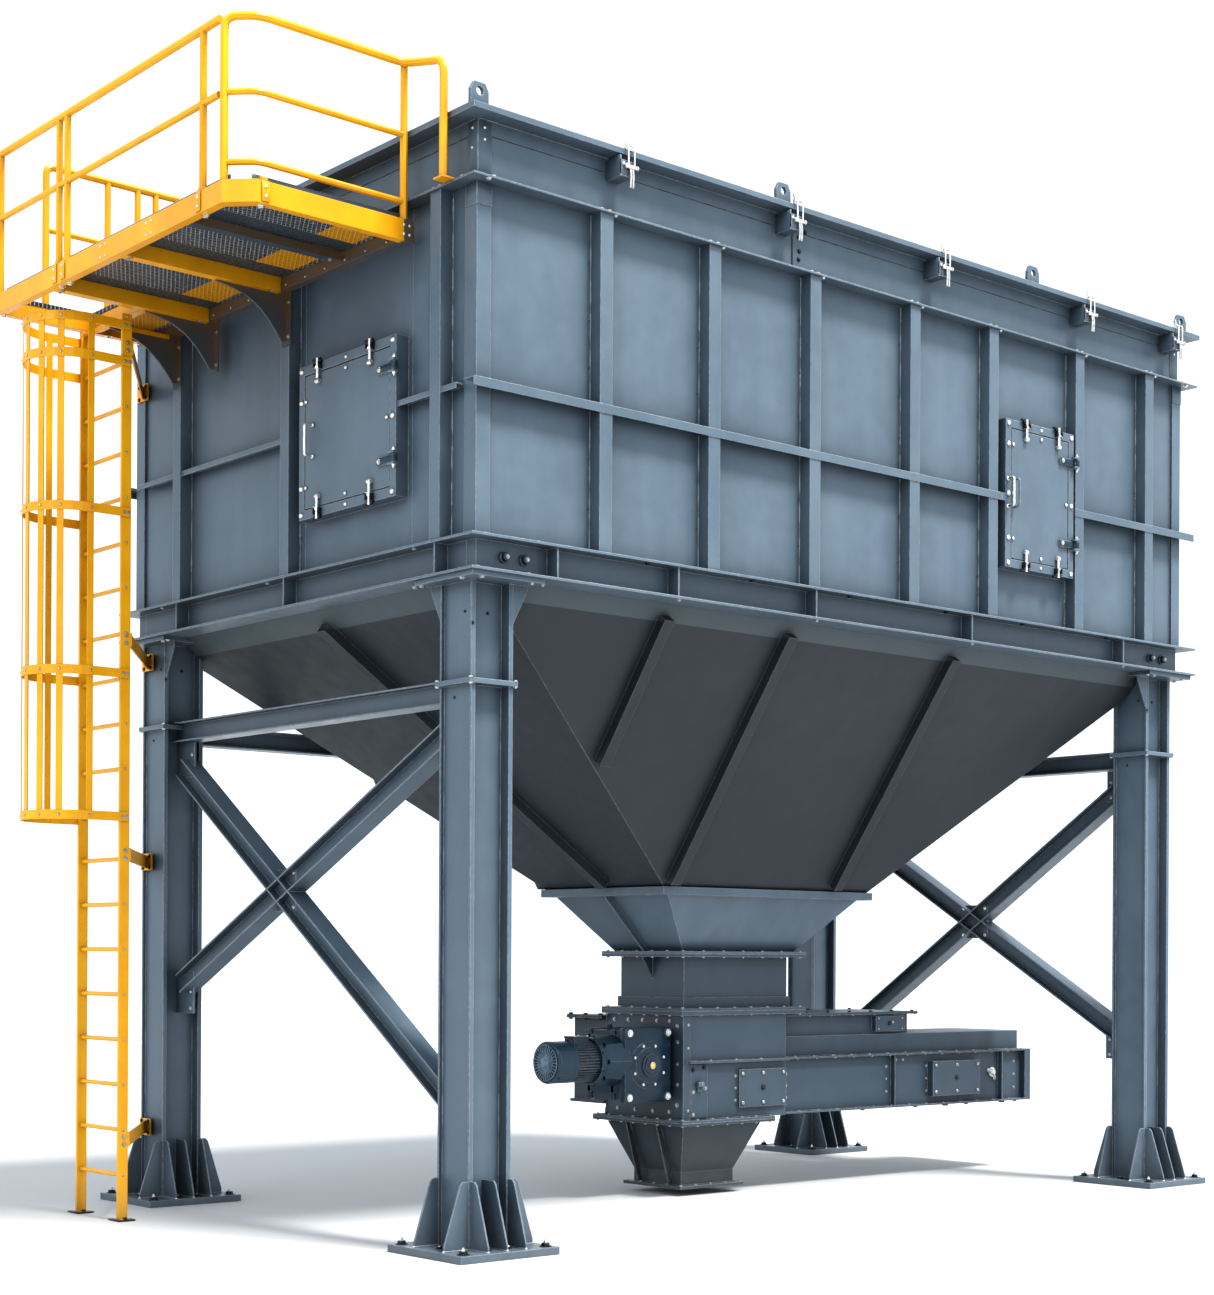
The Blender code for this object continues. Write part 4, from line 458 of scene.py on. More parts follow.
# Painted shade: the hopper's downward plates take a much darker copy of the slate, and its rim
# strip under the ring beam a lighter one.
HOPPER_SHADE_PAINT = paint("hopper_shade_paint", (0.025, 0.034, 0.040), (0.029, 0.039, 0.046),
                     (0.021, 0.029, 0.034), 0.55, edge=0.6,
                     other=(top_band, (0.070, 0.092, 0.106), (0.060, 0.080, 0.093)))
WELD_PAINT = paint("weld_paint", (0.22, 0.27, 0.32), (0.30, 0.35, 0.40), (0.13, 0.17, 0.21), 0.42)
DRIVE_PAINT = paint("drive_paint", (0.014, 0.036, 0.058), (0.018, 0.045, 0.071),
                    (0.010, 0.027, 0.045), 0.36, edge=0.5, cast=True)
YELLOW = (0.76, 0.35, 0.004)
YELLOW_LIGHT = (0.82, 0.41, 0.006)
YELLOW_DARK = (0.68, 0.29, 0.003)
YELLOW_PAINT = paint("safety_yellow", YELLOW, YELLOW_LIGHT, YELLOW_DARK, 0.36, edge=0.20,
                     round_off=0.003)
PLATFORM_PAINT = paint("platform_paint", YELLOW, YELLOW_LIGHT, YELLOW_DARK, 0.36, edge=0.12,
                       other=(bracket_region, (0.052, 0.074, 0.096), (0.040, 0.058, 0.076)))
STEEL = metal("bright_steel", (0.78, 0.77, 0.75), (0.55, 0.54, 0.52), 0.28)
ZINC = metal("dull_zinc", (0.50, 0.50, 0.49), (0.32, 0.32, 0.31), 0.38)
BLACK = metal("blackened_steel", (0.05, 0.055, 0.06), (0.025, 0.027, 0.03), 0.42)
GRILLE = metal("grille_wire", (0.20, 0.29, 0.36), (0.12, 0.18, 0.24), 0.36)
BRASS = metal("brass", (0.80, 0.60, 0.28), (0.62, 0.45, 0.20), 0.35)


def grating_finish():
    """The deck: pressed mesh between plain strips. Its holes are where two slanted weaves of x and
    y cross, pale on the rims and painted near black inside as the shade seen through them. The
    strips run across it, and one is yellow."""
    made = Finish("deck_grating", (0.10, 0.12, 0.14), 0.45, 0.2)
    x, y = made.along("X"), made.along("Y")
    rise = (x + 0.55 * y).weave(0.030)
    fall = (x - 0.55 * y).weave(0.030)
    web = made.band(rise.least(fall), 0.18, 0.34, 1.0, 0.0)
    speckle = made.band(made.noise(60.0), 0.42, 0.62)
    # Painted shade: the holes are near black, standing for the shade seen through the mesh.
    mesh = made.blend(web * (0.45 + 0.55 * speckle), (0.008, 0.009, 0.010), (0.34, 0.37, 0.40))
    strips = y.between(-0.99, -0.83).most(y.between(-0.30, -0.02)).most(y.between(0.62, 0.84))
    plain = made.blend(made.noise(5.0, 3.0), (0.030, 0.042, 0.054), (0.048, 0.064, 0.080))
    yellow = made.blend(made.noise(4.0), YELLOW_DARK, YELLOW_LIGHT)
    bright = x.between(-3.93, -3.66) * (1.0 - strips)
    made.wear("Base Color", made.blend(bright * (0.55 + 0.45 * web),
                                       made.blend(strips, mesh, plain), yellow))
    made.wear("Roughness", 0.36 + 0.25 * speckle)
    made.wear("Normal", made.bump(web * (1.0 - strips), 0.6, 0.004))
    return made.material


def dress_nodes():
    """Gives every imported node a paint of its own, or else the paint of its slot."""
    paints = {"slate_paint": SLATE_PAINT, "drive_paint": DRIVE_PAINT,
              "safety_yellow": YELLOW_PAINT}
    own = {"platform_frame": PLATFORM_PAINT, "platform_deck": grating_finish()}
    # The neck, feeder, casing and chute take darker slate copies that paint the shade under the
    # bin.
    own.update(dict.fromkeys(("neck", "feeder_head", "conveyor_casing"), OUTLET_SHADE_PAINT))
    own.update(dict.fromkeys(("feeder_tail", "discharge_chute"), CHUTE_SHADE_PAINT))
    # The hopper's plates take the darker copy that paints their shade.
    own.update(dict.fromkeys(("hopper_front", "hopper_left", "hopper_right", "hopper_back"),
                             HOPPER_SHADE_PAINT))
    slots = {entry["node"]: entry["material_slot"] for entry in frame["record"]["subparts"]}
    for name, node in NODES.items():
        node.data.materials.clear()
        node.data.materials.append(own.get(name, paints[slots[name]]))


# Lid, coaming and flanges

LATCH_X = np.array((-2.41, -0.94, 0.53, 2.18, 3.30))
LATCH_PIN_Z = 6.585
COAMING_SEAM_Z = 6.575


def latch_steel(x, out):
    """One toggle latch: pin, draw loop over the lid's edge, its hook and the two-legged lever."""
    def at(across, outward, z):
        return x + across, out * (LID_EDGE + 0.028) + out * outward, z

    pin_z, thick = LATCH_PIN_Z, 0.016
    pin = (at(-0.040, 0, pin_z), at(0.040, 0, pin_z))
    shapes = [rod(*pin, 0.0125), *spread(ROUND_HEAD, pin, (LEFT, RIGHT), 0.017)]
    loop = (at(-0.024, 0, pin_z), at(-0.024, 0, LID_Z + 0.010), at(-0.020, -0.045, LID_Z + 0.034),
            at(0.020, -0.045, LID_Z + 0.034), at(0.024, 0, LID_Z + 0.010), at(0.024, 0, pin_z))
    shapes.append(carried(rounded(loop, 0.012), circle(0.0058, 8), (0.02, out, 0.05)))
    for side in SIDES:
        legs = (at(side * 0.0095, -0.004, pin_z + 0.012), at(side * 0.0095, 0.006, pin_z - 0.050),
                at(side * 0.0105, 0.001, pin_z - 0.128))
        shapes.append(carried(rounded(legs, 0.020), oblong(0.0070, 0.0052, 0.0040), (0, out, 0)))
    shapes.append(rod(at(-thick, 0, pin_z - 0.060), at(thick, 0, pin_z - 0.060), 0.0065, 10))
    shapes.append(slab(at(-0.013, -0.056, LID_Z), at(0.013, -0.040, LID_Z + 0.045), 0.005))
    horn = (at(-0.030, -0.030, LID_Z + 0.002), at(-0.031, -0.020, LID_Z + 0.030),
            at(-0.035, -0.030, LID_Z + 0.062))
    shapes.append(carried(rounded(horn, 0.015), oblong(0.0035, 0.0070, 0.0030), (0, out, 0)))
    return shapes


def latch_bracket(x, out):
    """The angle on the coaming that carries one latch."""
    near, far = out * (WALL_Y + 0.0005), out * (LID_EDGE + 0.014)
    web = slab((x - 0.078, near, 6.520), (x - 0.070, far, 6.650))
    face = slab((x - 0.078, far - out * 0.008, 6.535), (x + 0.034, far, 6.625))
    toe = slab((x - 0.072, near, 6.524), (x + 0.020, far, 6.531))
    return [web, face, toe]


def build_lid_details():
    steel, brackets, rivets = [], [], []
    for out in SIDES:
        for x in LATCH_X:
            steel += latch_steel(x, out)
            brackets += latch_bracket(x, out)
        rivets += domes(LATCH_X - 0.055, out * (LID_EDGE + 0.014), 6.600, (0, out, 0), 0.011)
    piece("lid_latches", steel, STEEL)
    piece("latch_brackets", brackets, SLATE_PAINT)
    piece("latch_rivets", rivets, STEEL)


def corner_angle(x, y, width, thick, z0, z1):
    """Two thin plates that wrap one upright corner at (x, y)."""
    sx, sy = math.copysign(1, x), math.copysign(1, y)
    return [slab((x - sx * width, y, z0), (x + sx * thick, y + sy * thick, z1), 0.002),
            slab((x, y - sy * width, z0), (x + sx * thick * 0.98, y + sy * thick * 0.5, z1), 0.002)]


def build_corner_plates():
    """Corner angles on the coaming, the collars over the tops of the corner posts, and the
    coaming's seams."""
    plates, seams = [], []
    for sx, sy in CORNERS:
        plates += corner_angle(sx * (WALL_X + 0.0003), sy * (WALL_Y + 0.0003), 0.098, 0.0035,
                               FLANGE_Z + 0.001, 6.655)
        plates += corner_angle(sx * (WALL_X + 0.0203), sy * (WALL_Y + 0.0203), 0.108, 0.0045,
                               6.155, 6.2875)
    piece("corner_plates", plates, SLATE_PAINT)
    z, long_x, long_y = COAMING_SEAM_Z, WALL_X - 0.1, WALL_Y - 0.1
    for out in SIDES:
        joint, y, x = out * (WALL_Y + 0.0015), out * (WALL_Y + 0.0005), out * (WALL_X + 0.0005)
        seams.append(slab((-0.868, joint - 0.001, FLANGE_Z + 0.002), (-0.856, joint + 0.001, 6.66),
                          0.0008))
        seams.append(bead((-long_x, y, z), (long_x, y, z), 0.0022, 0.05))
        seams.append(bead((x, -long_y, z), (x, long_y, z), 0.0022, 0.05))
    piece("coaming_seams", seams, BLACK)


def build_flange_bolts():
    """Bolts through the bin's top flange at every rib, with their nuts under it."""
    steel, dark = [], []
    for out in SIDES:
        y, wall_y, wall_x = out * (FLANGE_Y - 0.030), out * (WALL_Y + 0.004), out * (WALL_X + 0.004)
        along = (*(FRONT_RIBS + 0.012), *(FRONT_RIBS + 0.074), -3.42, 3.42)
        steel += hexes(along, y, FLANGE_Z, UP, 0.0165)
        under = (*(FRONT_RIBS + 0.118), -3.46, 3.46)
        steel += hexes(under, out * (FLANGE_Y - 0.022), FLANGE_Z - 0.012, DOWN, 0.0135)
        dark += hexes(FRONT_RIBS + 0.160, y, FLANGE_Z, UP, 0.0120)
        # Four heads beside the coaming's upright joint
        for x, z in ((-0.80, 6.40), (-0.80, 6.545), (-0.795, 6.455), (-0.74, 6.590)):
            dark += hexes(x, out * (WALL_Y + 0.0005), z, (0, out, 0), 0.011)
        along = (*(SIDE_RIBS + 0.012), *(SIDE_RIBS + 0.074), -1.97, 1.97)
        steel += hexes(out * (FLANGE_X - 0.030), along, FLANGE_Z, UP, 0.0165)
        for end in SIDES:
            steel += domes(wall_x, end * 1.955, 6.615, (out, 0, 0), 0.010)
            steel += domes(wall_x, end * 1.95, 6.50, (out, 0, 0), 0.010)
            steel += domes(end * 3.425, wall_y, (6.615, 6.545), (0, out, 0), 0.010)
    piece("flange_bolts", steel, STEEL, angle=HEX_CREASE)
    piece("flange_dark_bolts", dark, BLACK, angle=HEX_CREASE)


# Walls

def build_rib_welds():
    """Stitched beads on either side of a rib's foot, and small pins along the plates' seams."""
    welds, pins = [], []
    low, high, pitch, stitch = RING_HIGH + 0.02, 6.28, 0.018, 0.21
    levels = np.array((4.47, 4.78, 5.06, 5.33, 5.62, 5.97))
    for out in SIDES:
        y, x = out * (WALL_Y + 0.002), out * (WALL_X + 0.002)
        for shift, radius in ((-0.001, 0.0052), (0.010, 0.0045)):
            for rib in FRONT_RIBS + shift:
                for z0, z1 in ((low, MID_RIB_Z - 0.03), (MID_RIB_Z + 0.012, high)):
                    welds.append(bead((rib, y, z0), (rib, y, z1), radius, pitch, stitch))
            for rib in SIDE_RIBS + shift:
                welds.append(bead((x, rib, low), (x, rib, high), radius, pitch, stitch))
        y, x = out * (WALL_Y + 0.0005), out * (WALL_X + 0.0005)
        places = grid(np.delete(FRONT_RIBS, DOOR_RIB) - 0.014, y, levels)
        places[:, 2] += 0.05 * np.sin(places[:, 0] * 7.0)
        pins += spread(ROUND_HEAD, places, (0, out, 0), 0.0085)
        pins += domes(np.linspace(-3.2, 3.2, 17) + 0.07, y, 6.335, (0, out, 0), 0.0070)
        pins += domes(x, SIDE_RIBS - 0.014, levels[::2], (out, 0, 0), 0.0085)
    piece("rib_welds", welds, WELD_PAINT)
    piece("seam_pins", pins, DRIVE_PAINT)


# Doors. Both are drawn in their own directions: u along the wall from the hinge, v out of it,
# w up, so that one set of fittings serves the two of them.

# Name, directions, reach in u, reach in w, face in v, clamps in u, middle heads in u, heads on the
# latch side in w, handle in u
DOORS = (
    ("front_door", ((-1, 0, 0), (0, -1, 0), (0, 0, 1)), (-2.035, -1.245), (4.60, 5.67), 2.095,
     (-1.840, -1.466), -1.650, (4.81, 5.13, 5.49), -1.265),
    ("left_door", ((0, 1, 0), (-1, 0, 0), (0, 0, 1)), (-1.318, -0.250), (4.55, 5.53), 3.565,
     (-1.060, -0.480), -0.780, (4.75, 5.30), -0.408),
)
DOOR_FRAME = 0.060
HINGE_SHARES = (0.23, 0.80)
HEAD_IN = 0.030
BIG_HEAD = 0.0190
SMALL_HEAD = 0.0130
V_OUT = (0, 1, 0)


def door_clamp(u, edge, inward, v):
    """A swing bolt over the frame's edge: eye on a cross pin, shank, nut and washer, dark lugs."""
    def at(across, outward, step):
        return u + across, v + outward, edge + inward * step

    steel = [rod(at(-0.018, 0.012, 0.125), at(0.018, 0.012, 0.125), 0.0175, 14, 0.2),
             rod(at(0, 0.015, 0.125), at(0, 0.015, -0.020), 0.0110)]
    steel += spread(STUD_NUT, at(0, 0.015, 0.052), (0, 0, -inward), 0.0185)
    steel += spread(ROUND_HEAD, at(0, 0.012, 0.121), V_OUT, BIG_HEAD)
    lugs = [slab(at(side * 0.023, -0.004, 0.012), at(side * 0.031, 0.030, 0.050))
            for side in SIDES]
    lugs.append(slab(at(-0.036, -0.004, -0.006), at(0.036, 0.020, 0.008)))
    lugs.append(rod(at(-0.030, 0.010, -0.012), at(0.058, 0.010, -0.012), 0.0095))
    return steel, lugs


def door_fittings(name, turn, across, height, v, clamps, mid_u, latch_z, grip_u):
    """Heads on the frame and the leaf, clamps over the top and bottom edges, the hinge's pins and
    straps, the gasket in the gap, and the bright sleeve of the bow handle."""
    (hinge_u, latch_u), (low, high) = across, height
    leaf_v, middle = v + 0.002, (low + high) / 2
    ends = (low + HEAD_IN, high - HEAD_IN)
    heads = domes((hinge_u + HEAD_IN, latch_u - HEAD_IN), v, ends, V_OUT, BIG_HEAD)
    heads += domes(mid_u, v, ends, V_OUT, SMALL_HEAD)
    heads += domes(latch_u - HEAD_IN, v, latch_z, V_OUT, BIG_HEAD)
    heads += domes(hinge_u + HEAD_IN, v, middle, V_OUT, BIG_HEAD)
    fasteners = domes(mid_u, leaf_v, (low + 0.098, high - 0.098), V_OUT, SMALL_HEAD)
    fasteners += domes(latch_u - 0.082, leaf_v, latch_z, V_OUT, SMALL_HEAD)
    fasteners += domes(hinge_u + 0.090, leaf_v, middle, V_OUT, SMALL_HEAD)
    lugs = []
    for u in clamps:
        for edge, inward in ((high, -1), (low, 1)):
            bolt, dark = door_clamp(u, edge, inward, v)
            fasteners += bolt
            lugs += dark
    foot_z = (middle - 0.10, middle + 0.10)
    bow = rounded(((grip_u, leaf_v, foot_z[0]), (grip_u, leaf_v + 0.060, foot_z[0]),
                   (grip_u, leaf_v + 0.060, foot_z[1]), (grip_u, leaf_v, foot_z[1])), 0.018)
    grip = [carried(bow, circle(0.0105, 10), RIGHT), *domes(grip_u, leaf_v, foot_z, V_OUT, 0.0165)]
    nuts, barrels = [], []
    pin_u, pin_v, strap_v = hinge_u - 0.012, v + 0.022, v + 0.0195
    half_eye, half_pin = 0.0242, 0.0425
    for share in HINGE_SHARES:
        z = low + share * (high - low)
        nuts += spread(STUD_NUT, (pin_u, pin_v, z + half_pin), UP, SMALL_HEAD)
        nuts += spread(STUD_NUT, (pin_u, pin_v, z - half_pin), DOWN, SMALL_HEAD)
        barrels.append(rod((pin_u, pin_v, z - half_eye), (pin_u, pin_v, z + half_eye), 0.0190,
                           16, 0.2))
        barrels.append(slab((pin_u, v + 0.0145, z - 0.021), (hinge_u + 0.172, strap_v, z + 0.021)))
        fasteners += hexes(hinge_u + 0.150, strap_v, z, V_OUT, 0.0120)
    gasket = []
    near, far = DOOR_FRAME + 0.0006, DOOR_FRAME + 0.0074
    inner_v, outer_v = v - 0.020, v - 0.005
    for w0, w1 in ((low + near, low + far), (high - far, high - near)):
        gasket.append(slab((hinge_u + near, inner_v, w0), (latch_u - near, outer_v, w1), 0.001))
    for u0, u1 in ((hinge_u + near, hinge_u + far), (latch_u - far, latch_u - near)):
        gasket.append(slab((u0, inner_v, low + far), (u1, outer_v, high - far), 0.001))
    for label, shapes, finish, body, angle in (
            ("frame_heads", heads, STEEL, "bunker", CREASE),
            ("leaf_fasteners", fasteners, STEEL, name, CREASE),
            ("hinge_nuts", nuts, STEEL, "bunker", HEX_CREASE),
            ("hinge_barrels", barrels, DRIVE_PAINT, name, CREASE),
            ("gasket", gasket, BLACK, "bunker", CREASE),
            ("clamp_lugs", lugs, BLACK, name, CREASE),
            ("grip", grip, STEEL, name, CREASE)):
        turned_out = [shape @ np.array(turn, float) for shape in shapes]
        piece(f"{name}_{label}", turned_out, finish, body, angle=angle)


# Platform and rails

DECK_X = (-4.80, -3.5653)
DECK_Y = (-1.50, 1.56)
DECK_TOP = 6.16
KERB_TOP = 6.204
EDGE_LOW = 6.03
POST_IN = 0.028
OUTER_POSTS = (-1.10, 0.58, 0.69)
BACK_POSTS = (-3.99, -3.76)
FRONT_POST = -4.60
BRACKETS_Y = (-0.10, 0.80, 1.30)


def post_strap(x, y, out):
    """The flat foot of a rail post: a strap down the channel's face with two bolts in it."""
    foot, way = np.array((x, y, 0.0)), np.array((*out, 0.0))
    across = np.abs(way[[1, 0, 2]]) * 0.026
    inner = foot + way * (POST_IN + 0.0002)
    outer = inner + way * 0.007
    low, high = EDGE_LOW + 0.012, DECK_TOP - 0.001
    strap = slab(inner - across + (0, 0, low), outer + across + (0, 0, high), 0.002)
    bolts = [outer + (0, 0, z) for z in (low + 0.030, DECK_TOP - 0.032)]
    heads = spread(ROUND_HEAD, bolts, way, 0.0105)
    nut = spread(HEX_BOLT, foot - way * 0.02 + (0, 0, EDGE_LOW), DOWN, 0.0170)
    collar = rod((x, y, DECK_TOP), (x, y, DECK_TOP + 0.025), 0.029, 14)
    return [strap, collar], heads, nut


def build_platform_details():
    """Feet of the rail posts, bolts of the edge channel, and the deck's kerbs."""
    straps, bolts, nuts = [], [], []
    outer_x, front_y, back_y = DECK_X[0] + POST_IN, DECK_Y[0] + POST_IN, DECK_Y[1] - POST_IN
    posts = [(outer_x, y, (-1, 0)) for y in (*OUTER_POSTS, back_y)]
    posts += [(x, back_y, (0, 1)) for x in BACK_POSTS]
    posts.append((FRONT_POST, front_y, (0, -1)))
    for post in posts:
        flats, heads, nut = post_strap(*post)
        straps += flats
        bolts += heads
        nuts += nut
    # Joints of the edge channel, and the plate that ties it to the wall at its front end
    for y in (-0.52, 0.05):
        bolts += domes(DECK_X[0] - 0.0002, (y - 0.03, y + 0.03), (6.060, 6.130), LEFT, 0.0085)
    bolts += domes((-3.600, -3.640), DECK_Y[0] - 0.0002, (6.070, 6.125), FRONT, 0.0095)
    low = DECK_TOP - 0.001
    kerbs = [slab((-4.746, -1.355, low), (-4.738, 1.502, KERB_TOP), 0.002),
             slab((-4.655, -1.446, low), (-3.580, -1.438, KERB_TOP), 0.002)]
    yellow_piece("platform_straps", straps, YELLOW_PAINT)
    piece("deck_kerbs", kerbs, SLATE_PAINT)
    yellow_piece("platform_bolts", bolts, STEEL)
    yellow_piece("platform_post_nuts", nuts, STEEL, angle=HEX_CREASE)


def build_bracket_bolts():
    """Bolts through the brackets' wall plates, the beam on the wall and the cross beams' ends."""
    bolts = []
    for y in BRACKETS_Y:
        bolts += hexes(DECK_X[1] - 0.0125, (y - 0.032, y + 0.032), (5.760, 5.980), LEFT, 0.0115)
    bolts += domes(-3.6253, np.linspace(-1.30, 1.40, 13), 6.075, LEFT, 0.0090)
    for y in BRACKETS_Y[:2]:
        bolts += hexes((-4.70, -3.70), (y - 0.020, y + 0.020), 6.034, DOWN, 0.0100)
    bolts += hexes((-4.70, -3.70), -0.80, 6.070, DOWN, 0.0120)
    yellow_piece("bracket_bolts", bolts, ZINC, angle=HEX_CREASE)


# Ladder

LADDER_X = -4.17
LADDER_Y = 1.21
LADDER_HALF = 0.29
STILE_HALF = 0.011
CAGE_DEPTH = 0.56
RUNGS = 0.30 * np.arange(1, 21)
HOOPS = (2.68, 3.63, 4.70, 5.70, 5.94)
# Height of each stay, and the x of the wall and the y of the edge where its foot plate stands
STAYS = ((0.53, -3.4653, 1.955), (2.43, -3.4653, 1.955), (3.86, -3.4653, 1.955),
         (5.80, -3.4906, 2.0))


def build_ladder_details():
    """Rivets where hoops meet the cage's flats, bolts of the stays, foot plates and rung welds."""
    bright, dark, welds, feet = [], [], [], []
    half = LADDER_HALF + STILE_HALF
    cage = (LADDER_X - CAGE_DEPTH + half, LADDER_Y)
    angle = np.radians((90, 128, 154, 180, 206, 232, 270))
    out = np.column_stack((np.cos(angle), np.sin(angle), np.zeros(7)))
    band = half + 0.0088
    for z in HOOPS:
        bright += spread(ROUND_HEAD, out * band + (*cage, z), out, 0.0085)
    for z, wall, edge in STAYS:
        bright += hexes(LADDER_X + 0.006, LADDER_Y - LADDER_HALF - 0.0115, (z - 0.025, z + 0.025),
                        FRONT, 0.0105)
        dark += hexes(wall - 0.0125, (edge - 0.128, edge - 0.035), (z - 0.042, z + 0.042),
                      LEFT, 0.0105)
    for side in SIDES:
        y, way = LADDER_Y + side * LADDER_HALF, (0, side, 0)
        bright += hexes((LADDER_X - 0.018, LADDER_X + 0.018), LADDER_Y + side * band, HOOPS, way,
                        0.0085)
        bright += domes(LADDER_X, y + side * 0.0111, RUNGS, way, 0.0080)
        dark += hexes(LADDER_X, (y - 0.042, y + 0.042), 0.012, UP, 0.0125)
        inner = LADDER_Y + side * (LADDER_HALF - STILE_HALF)
        for z in RUNGS:
            welds.append(rod((LADDER_X, inner, z), (LADDER_X, inner - side * 0.006, z), 0.0205,
                             12, 0.3))
        feet.append(slab((LADDER_X - 0.062, y - 0.075, 0.0008),
                         (LADDER_X + 0.062, y + 0.075, 0.0095), 0.002))
    yellow_piece("ladder_feet", feet, BLACK)
    yellow_piece("ladder_bolts", bright, ZINC, angle=HEAD_CREASE)
    yellow_piece("ladder_dark_bolts", dark, BLACK, angle=HEX_CREASE)
    yellow_piece("rung_welds", welds, YELLOW_PAINT)


# Braces, ring beam and columns

BRACE_REACH = 1.7197
BRACE_HIGH = 3.18
BRACE_LOW = {-1: (0.82, 1.50), 1: (1.12, 0.82)}
STRUT_WELD_Y = 1.655
PORT_X = (-3.27, -3.12, 3.12, 3.27)
PORT_Z = 4.118


def build_brace_details():
    """Bolts of the crossing plates and the end plates, and a bead at each end of the struts."""
    steel, welds = [], []
    for side, lows in BRACE_LOW.items():
        x = side * COLUMN[0]
        falls = [(BRACE_HIGH - low) / (2 * BRACE_REACH) for low in lows]
        y = BRACE_REACH * (falls[0] - falls[1]) / (falls[0] + falls[1])
        z = BRACE_HIGH - falls[0] * (BRACE_REACH - y)
        for out in SIDES:
            way = (out, 0, 0)
            steel += hexes(x + out * 0.0103, (y - 0.115, y + 0.115), (z - 0.115, z + 0.115), way,
                           0.0110)
            for end, low in zip(SIDES, lows):
                heights = np.array((low, BRACE_HIGH))
                steel += hexes(x + out * 0.0083, end * (BRACE_REACH - 0.205),
                               (*(heights - 0.115), *(heights + 0.005)), way, 0.0105)
        for y in (-STRUT_WELD_Y, STRUT_WELD_Y):
            welds.append(bead((x - 0.07, y, STRUT_TOP), (x + 0.07, y, STRUT_TOP), 0.006))
    piece("brace_bolts", steel, STEEL, angle=HEX_CREASE)
    piece("strut_welds", welds, WELD_PAINT)


def build_ring_details():
    """Bolts of the ring beam's flanges and the two round ports by each corner."""
    steel, dark, ports = [], [], []
    on_low, under_high = RING_LOW + 0.016, RING_HIGH - 0.016
    for out in SIDES:
        for x, y, z, way, size in (
                ((-3.50, -3.12, 3.12, 3.50), 2.055, on_low, UP, 0.0160),
                ((-3.47, -3.10, -3.02, 3.02, 3.10, 3.47), 2.060, RING_FOOT, DOWN, 0.0150),
                ((-3.45, -3.05, 3.05, 3.45), 2.060, RING_HIGH, UP, 0.0140),
                ((-1.93, -0.69, 0.90, 2.68), 2.075, RING_LOW, DOWN, 0.0140)):
            steel += hexes(x, out * y, z, way, size)
        dark += hexes(FRONT_RIBS[:-1] + 0.42, out * 2.065, under_high, DOWN, 0.0150)
        dark += hexes(FRONT_RIBS[:-1] + 0.37, out * 2.068, RING_HIGH, UP, 0.0115)
        face = out * (WALL_Y + 0.0015)
        for x in PORT_X:
            for reach, radius in ((0.045, 0.026), (0.012, 0.034)):
                ports.append(rod((x, face, PORT_Z), (x, face + out * reach, PORT_Z), radius, 16))
            steel += hexes(x, face + out * 0.045, PORT_Z, (0, out, 0), 0.010)
        for x, y, z, way, size in (
                (3.53, (-1.93, -1.60, 1.60, 1.93), on_low, UP, 0.0160),
                (3.53, (-1.95, -1.55, -1.48, 1.48, 1.55, 1.95), RING_FOOT, DOWN, 0.0150),
                (3.53, (-1.88, 1.88), RING_HIGH, UP, 0.0140),
                (3.54, SIDE_RIBS + 0.28, under_high, DOWN, 0.0130)):
            steel += hexes(out * x, y, z, way, size)
    piece("ring_beam_bolts", steel, ZINC, angle=HEX_CREASE)
    piece("ring_beam_dark_bolts", dark, BLACK, angle=HEX_CREASE)
    piece("ring_beam_ports", ports, DRIVE_PAINT)


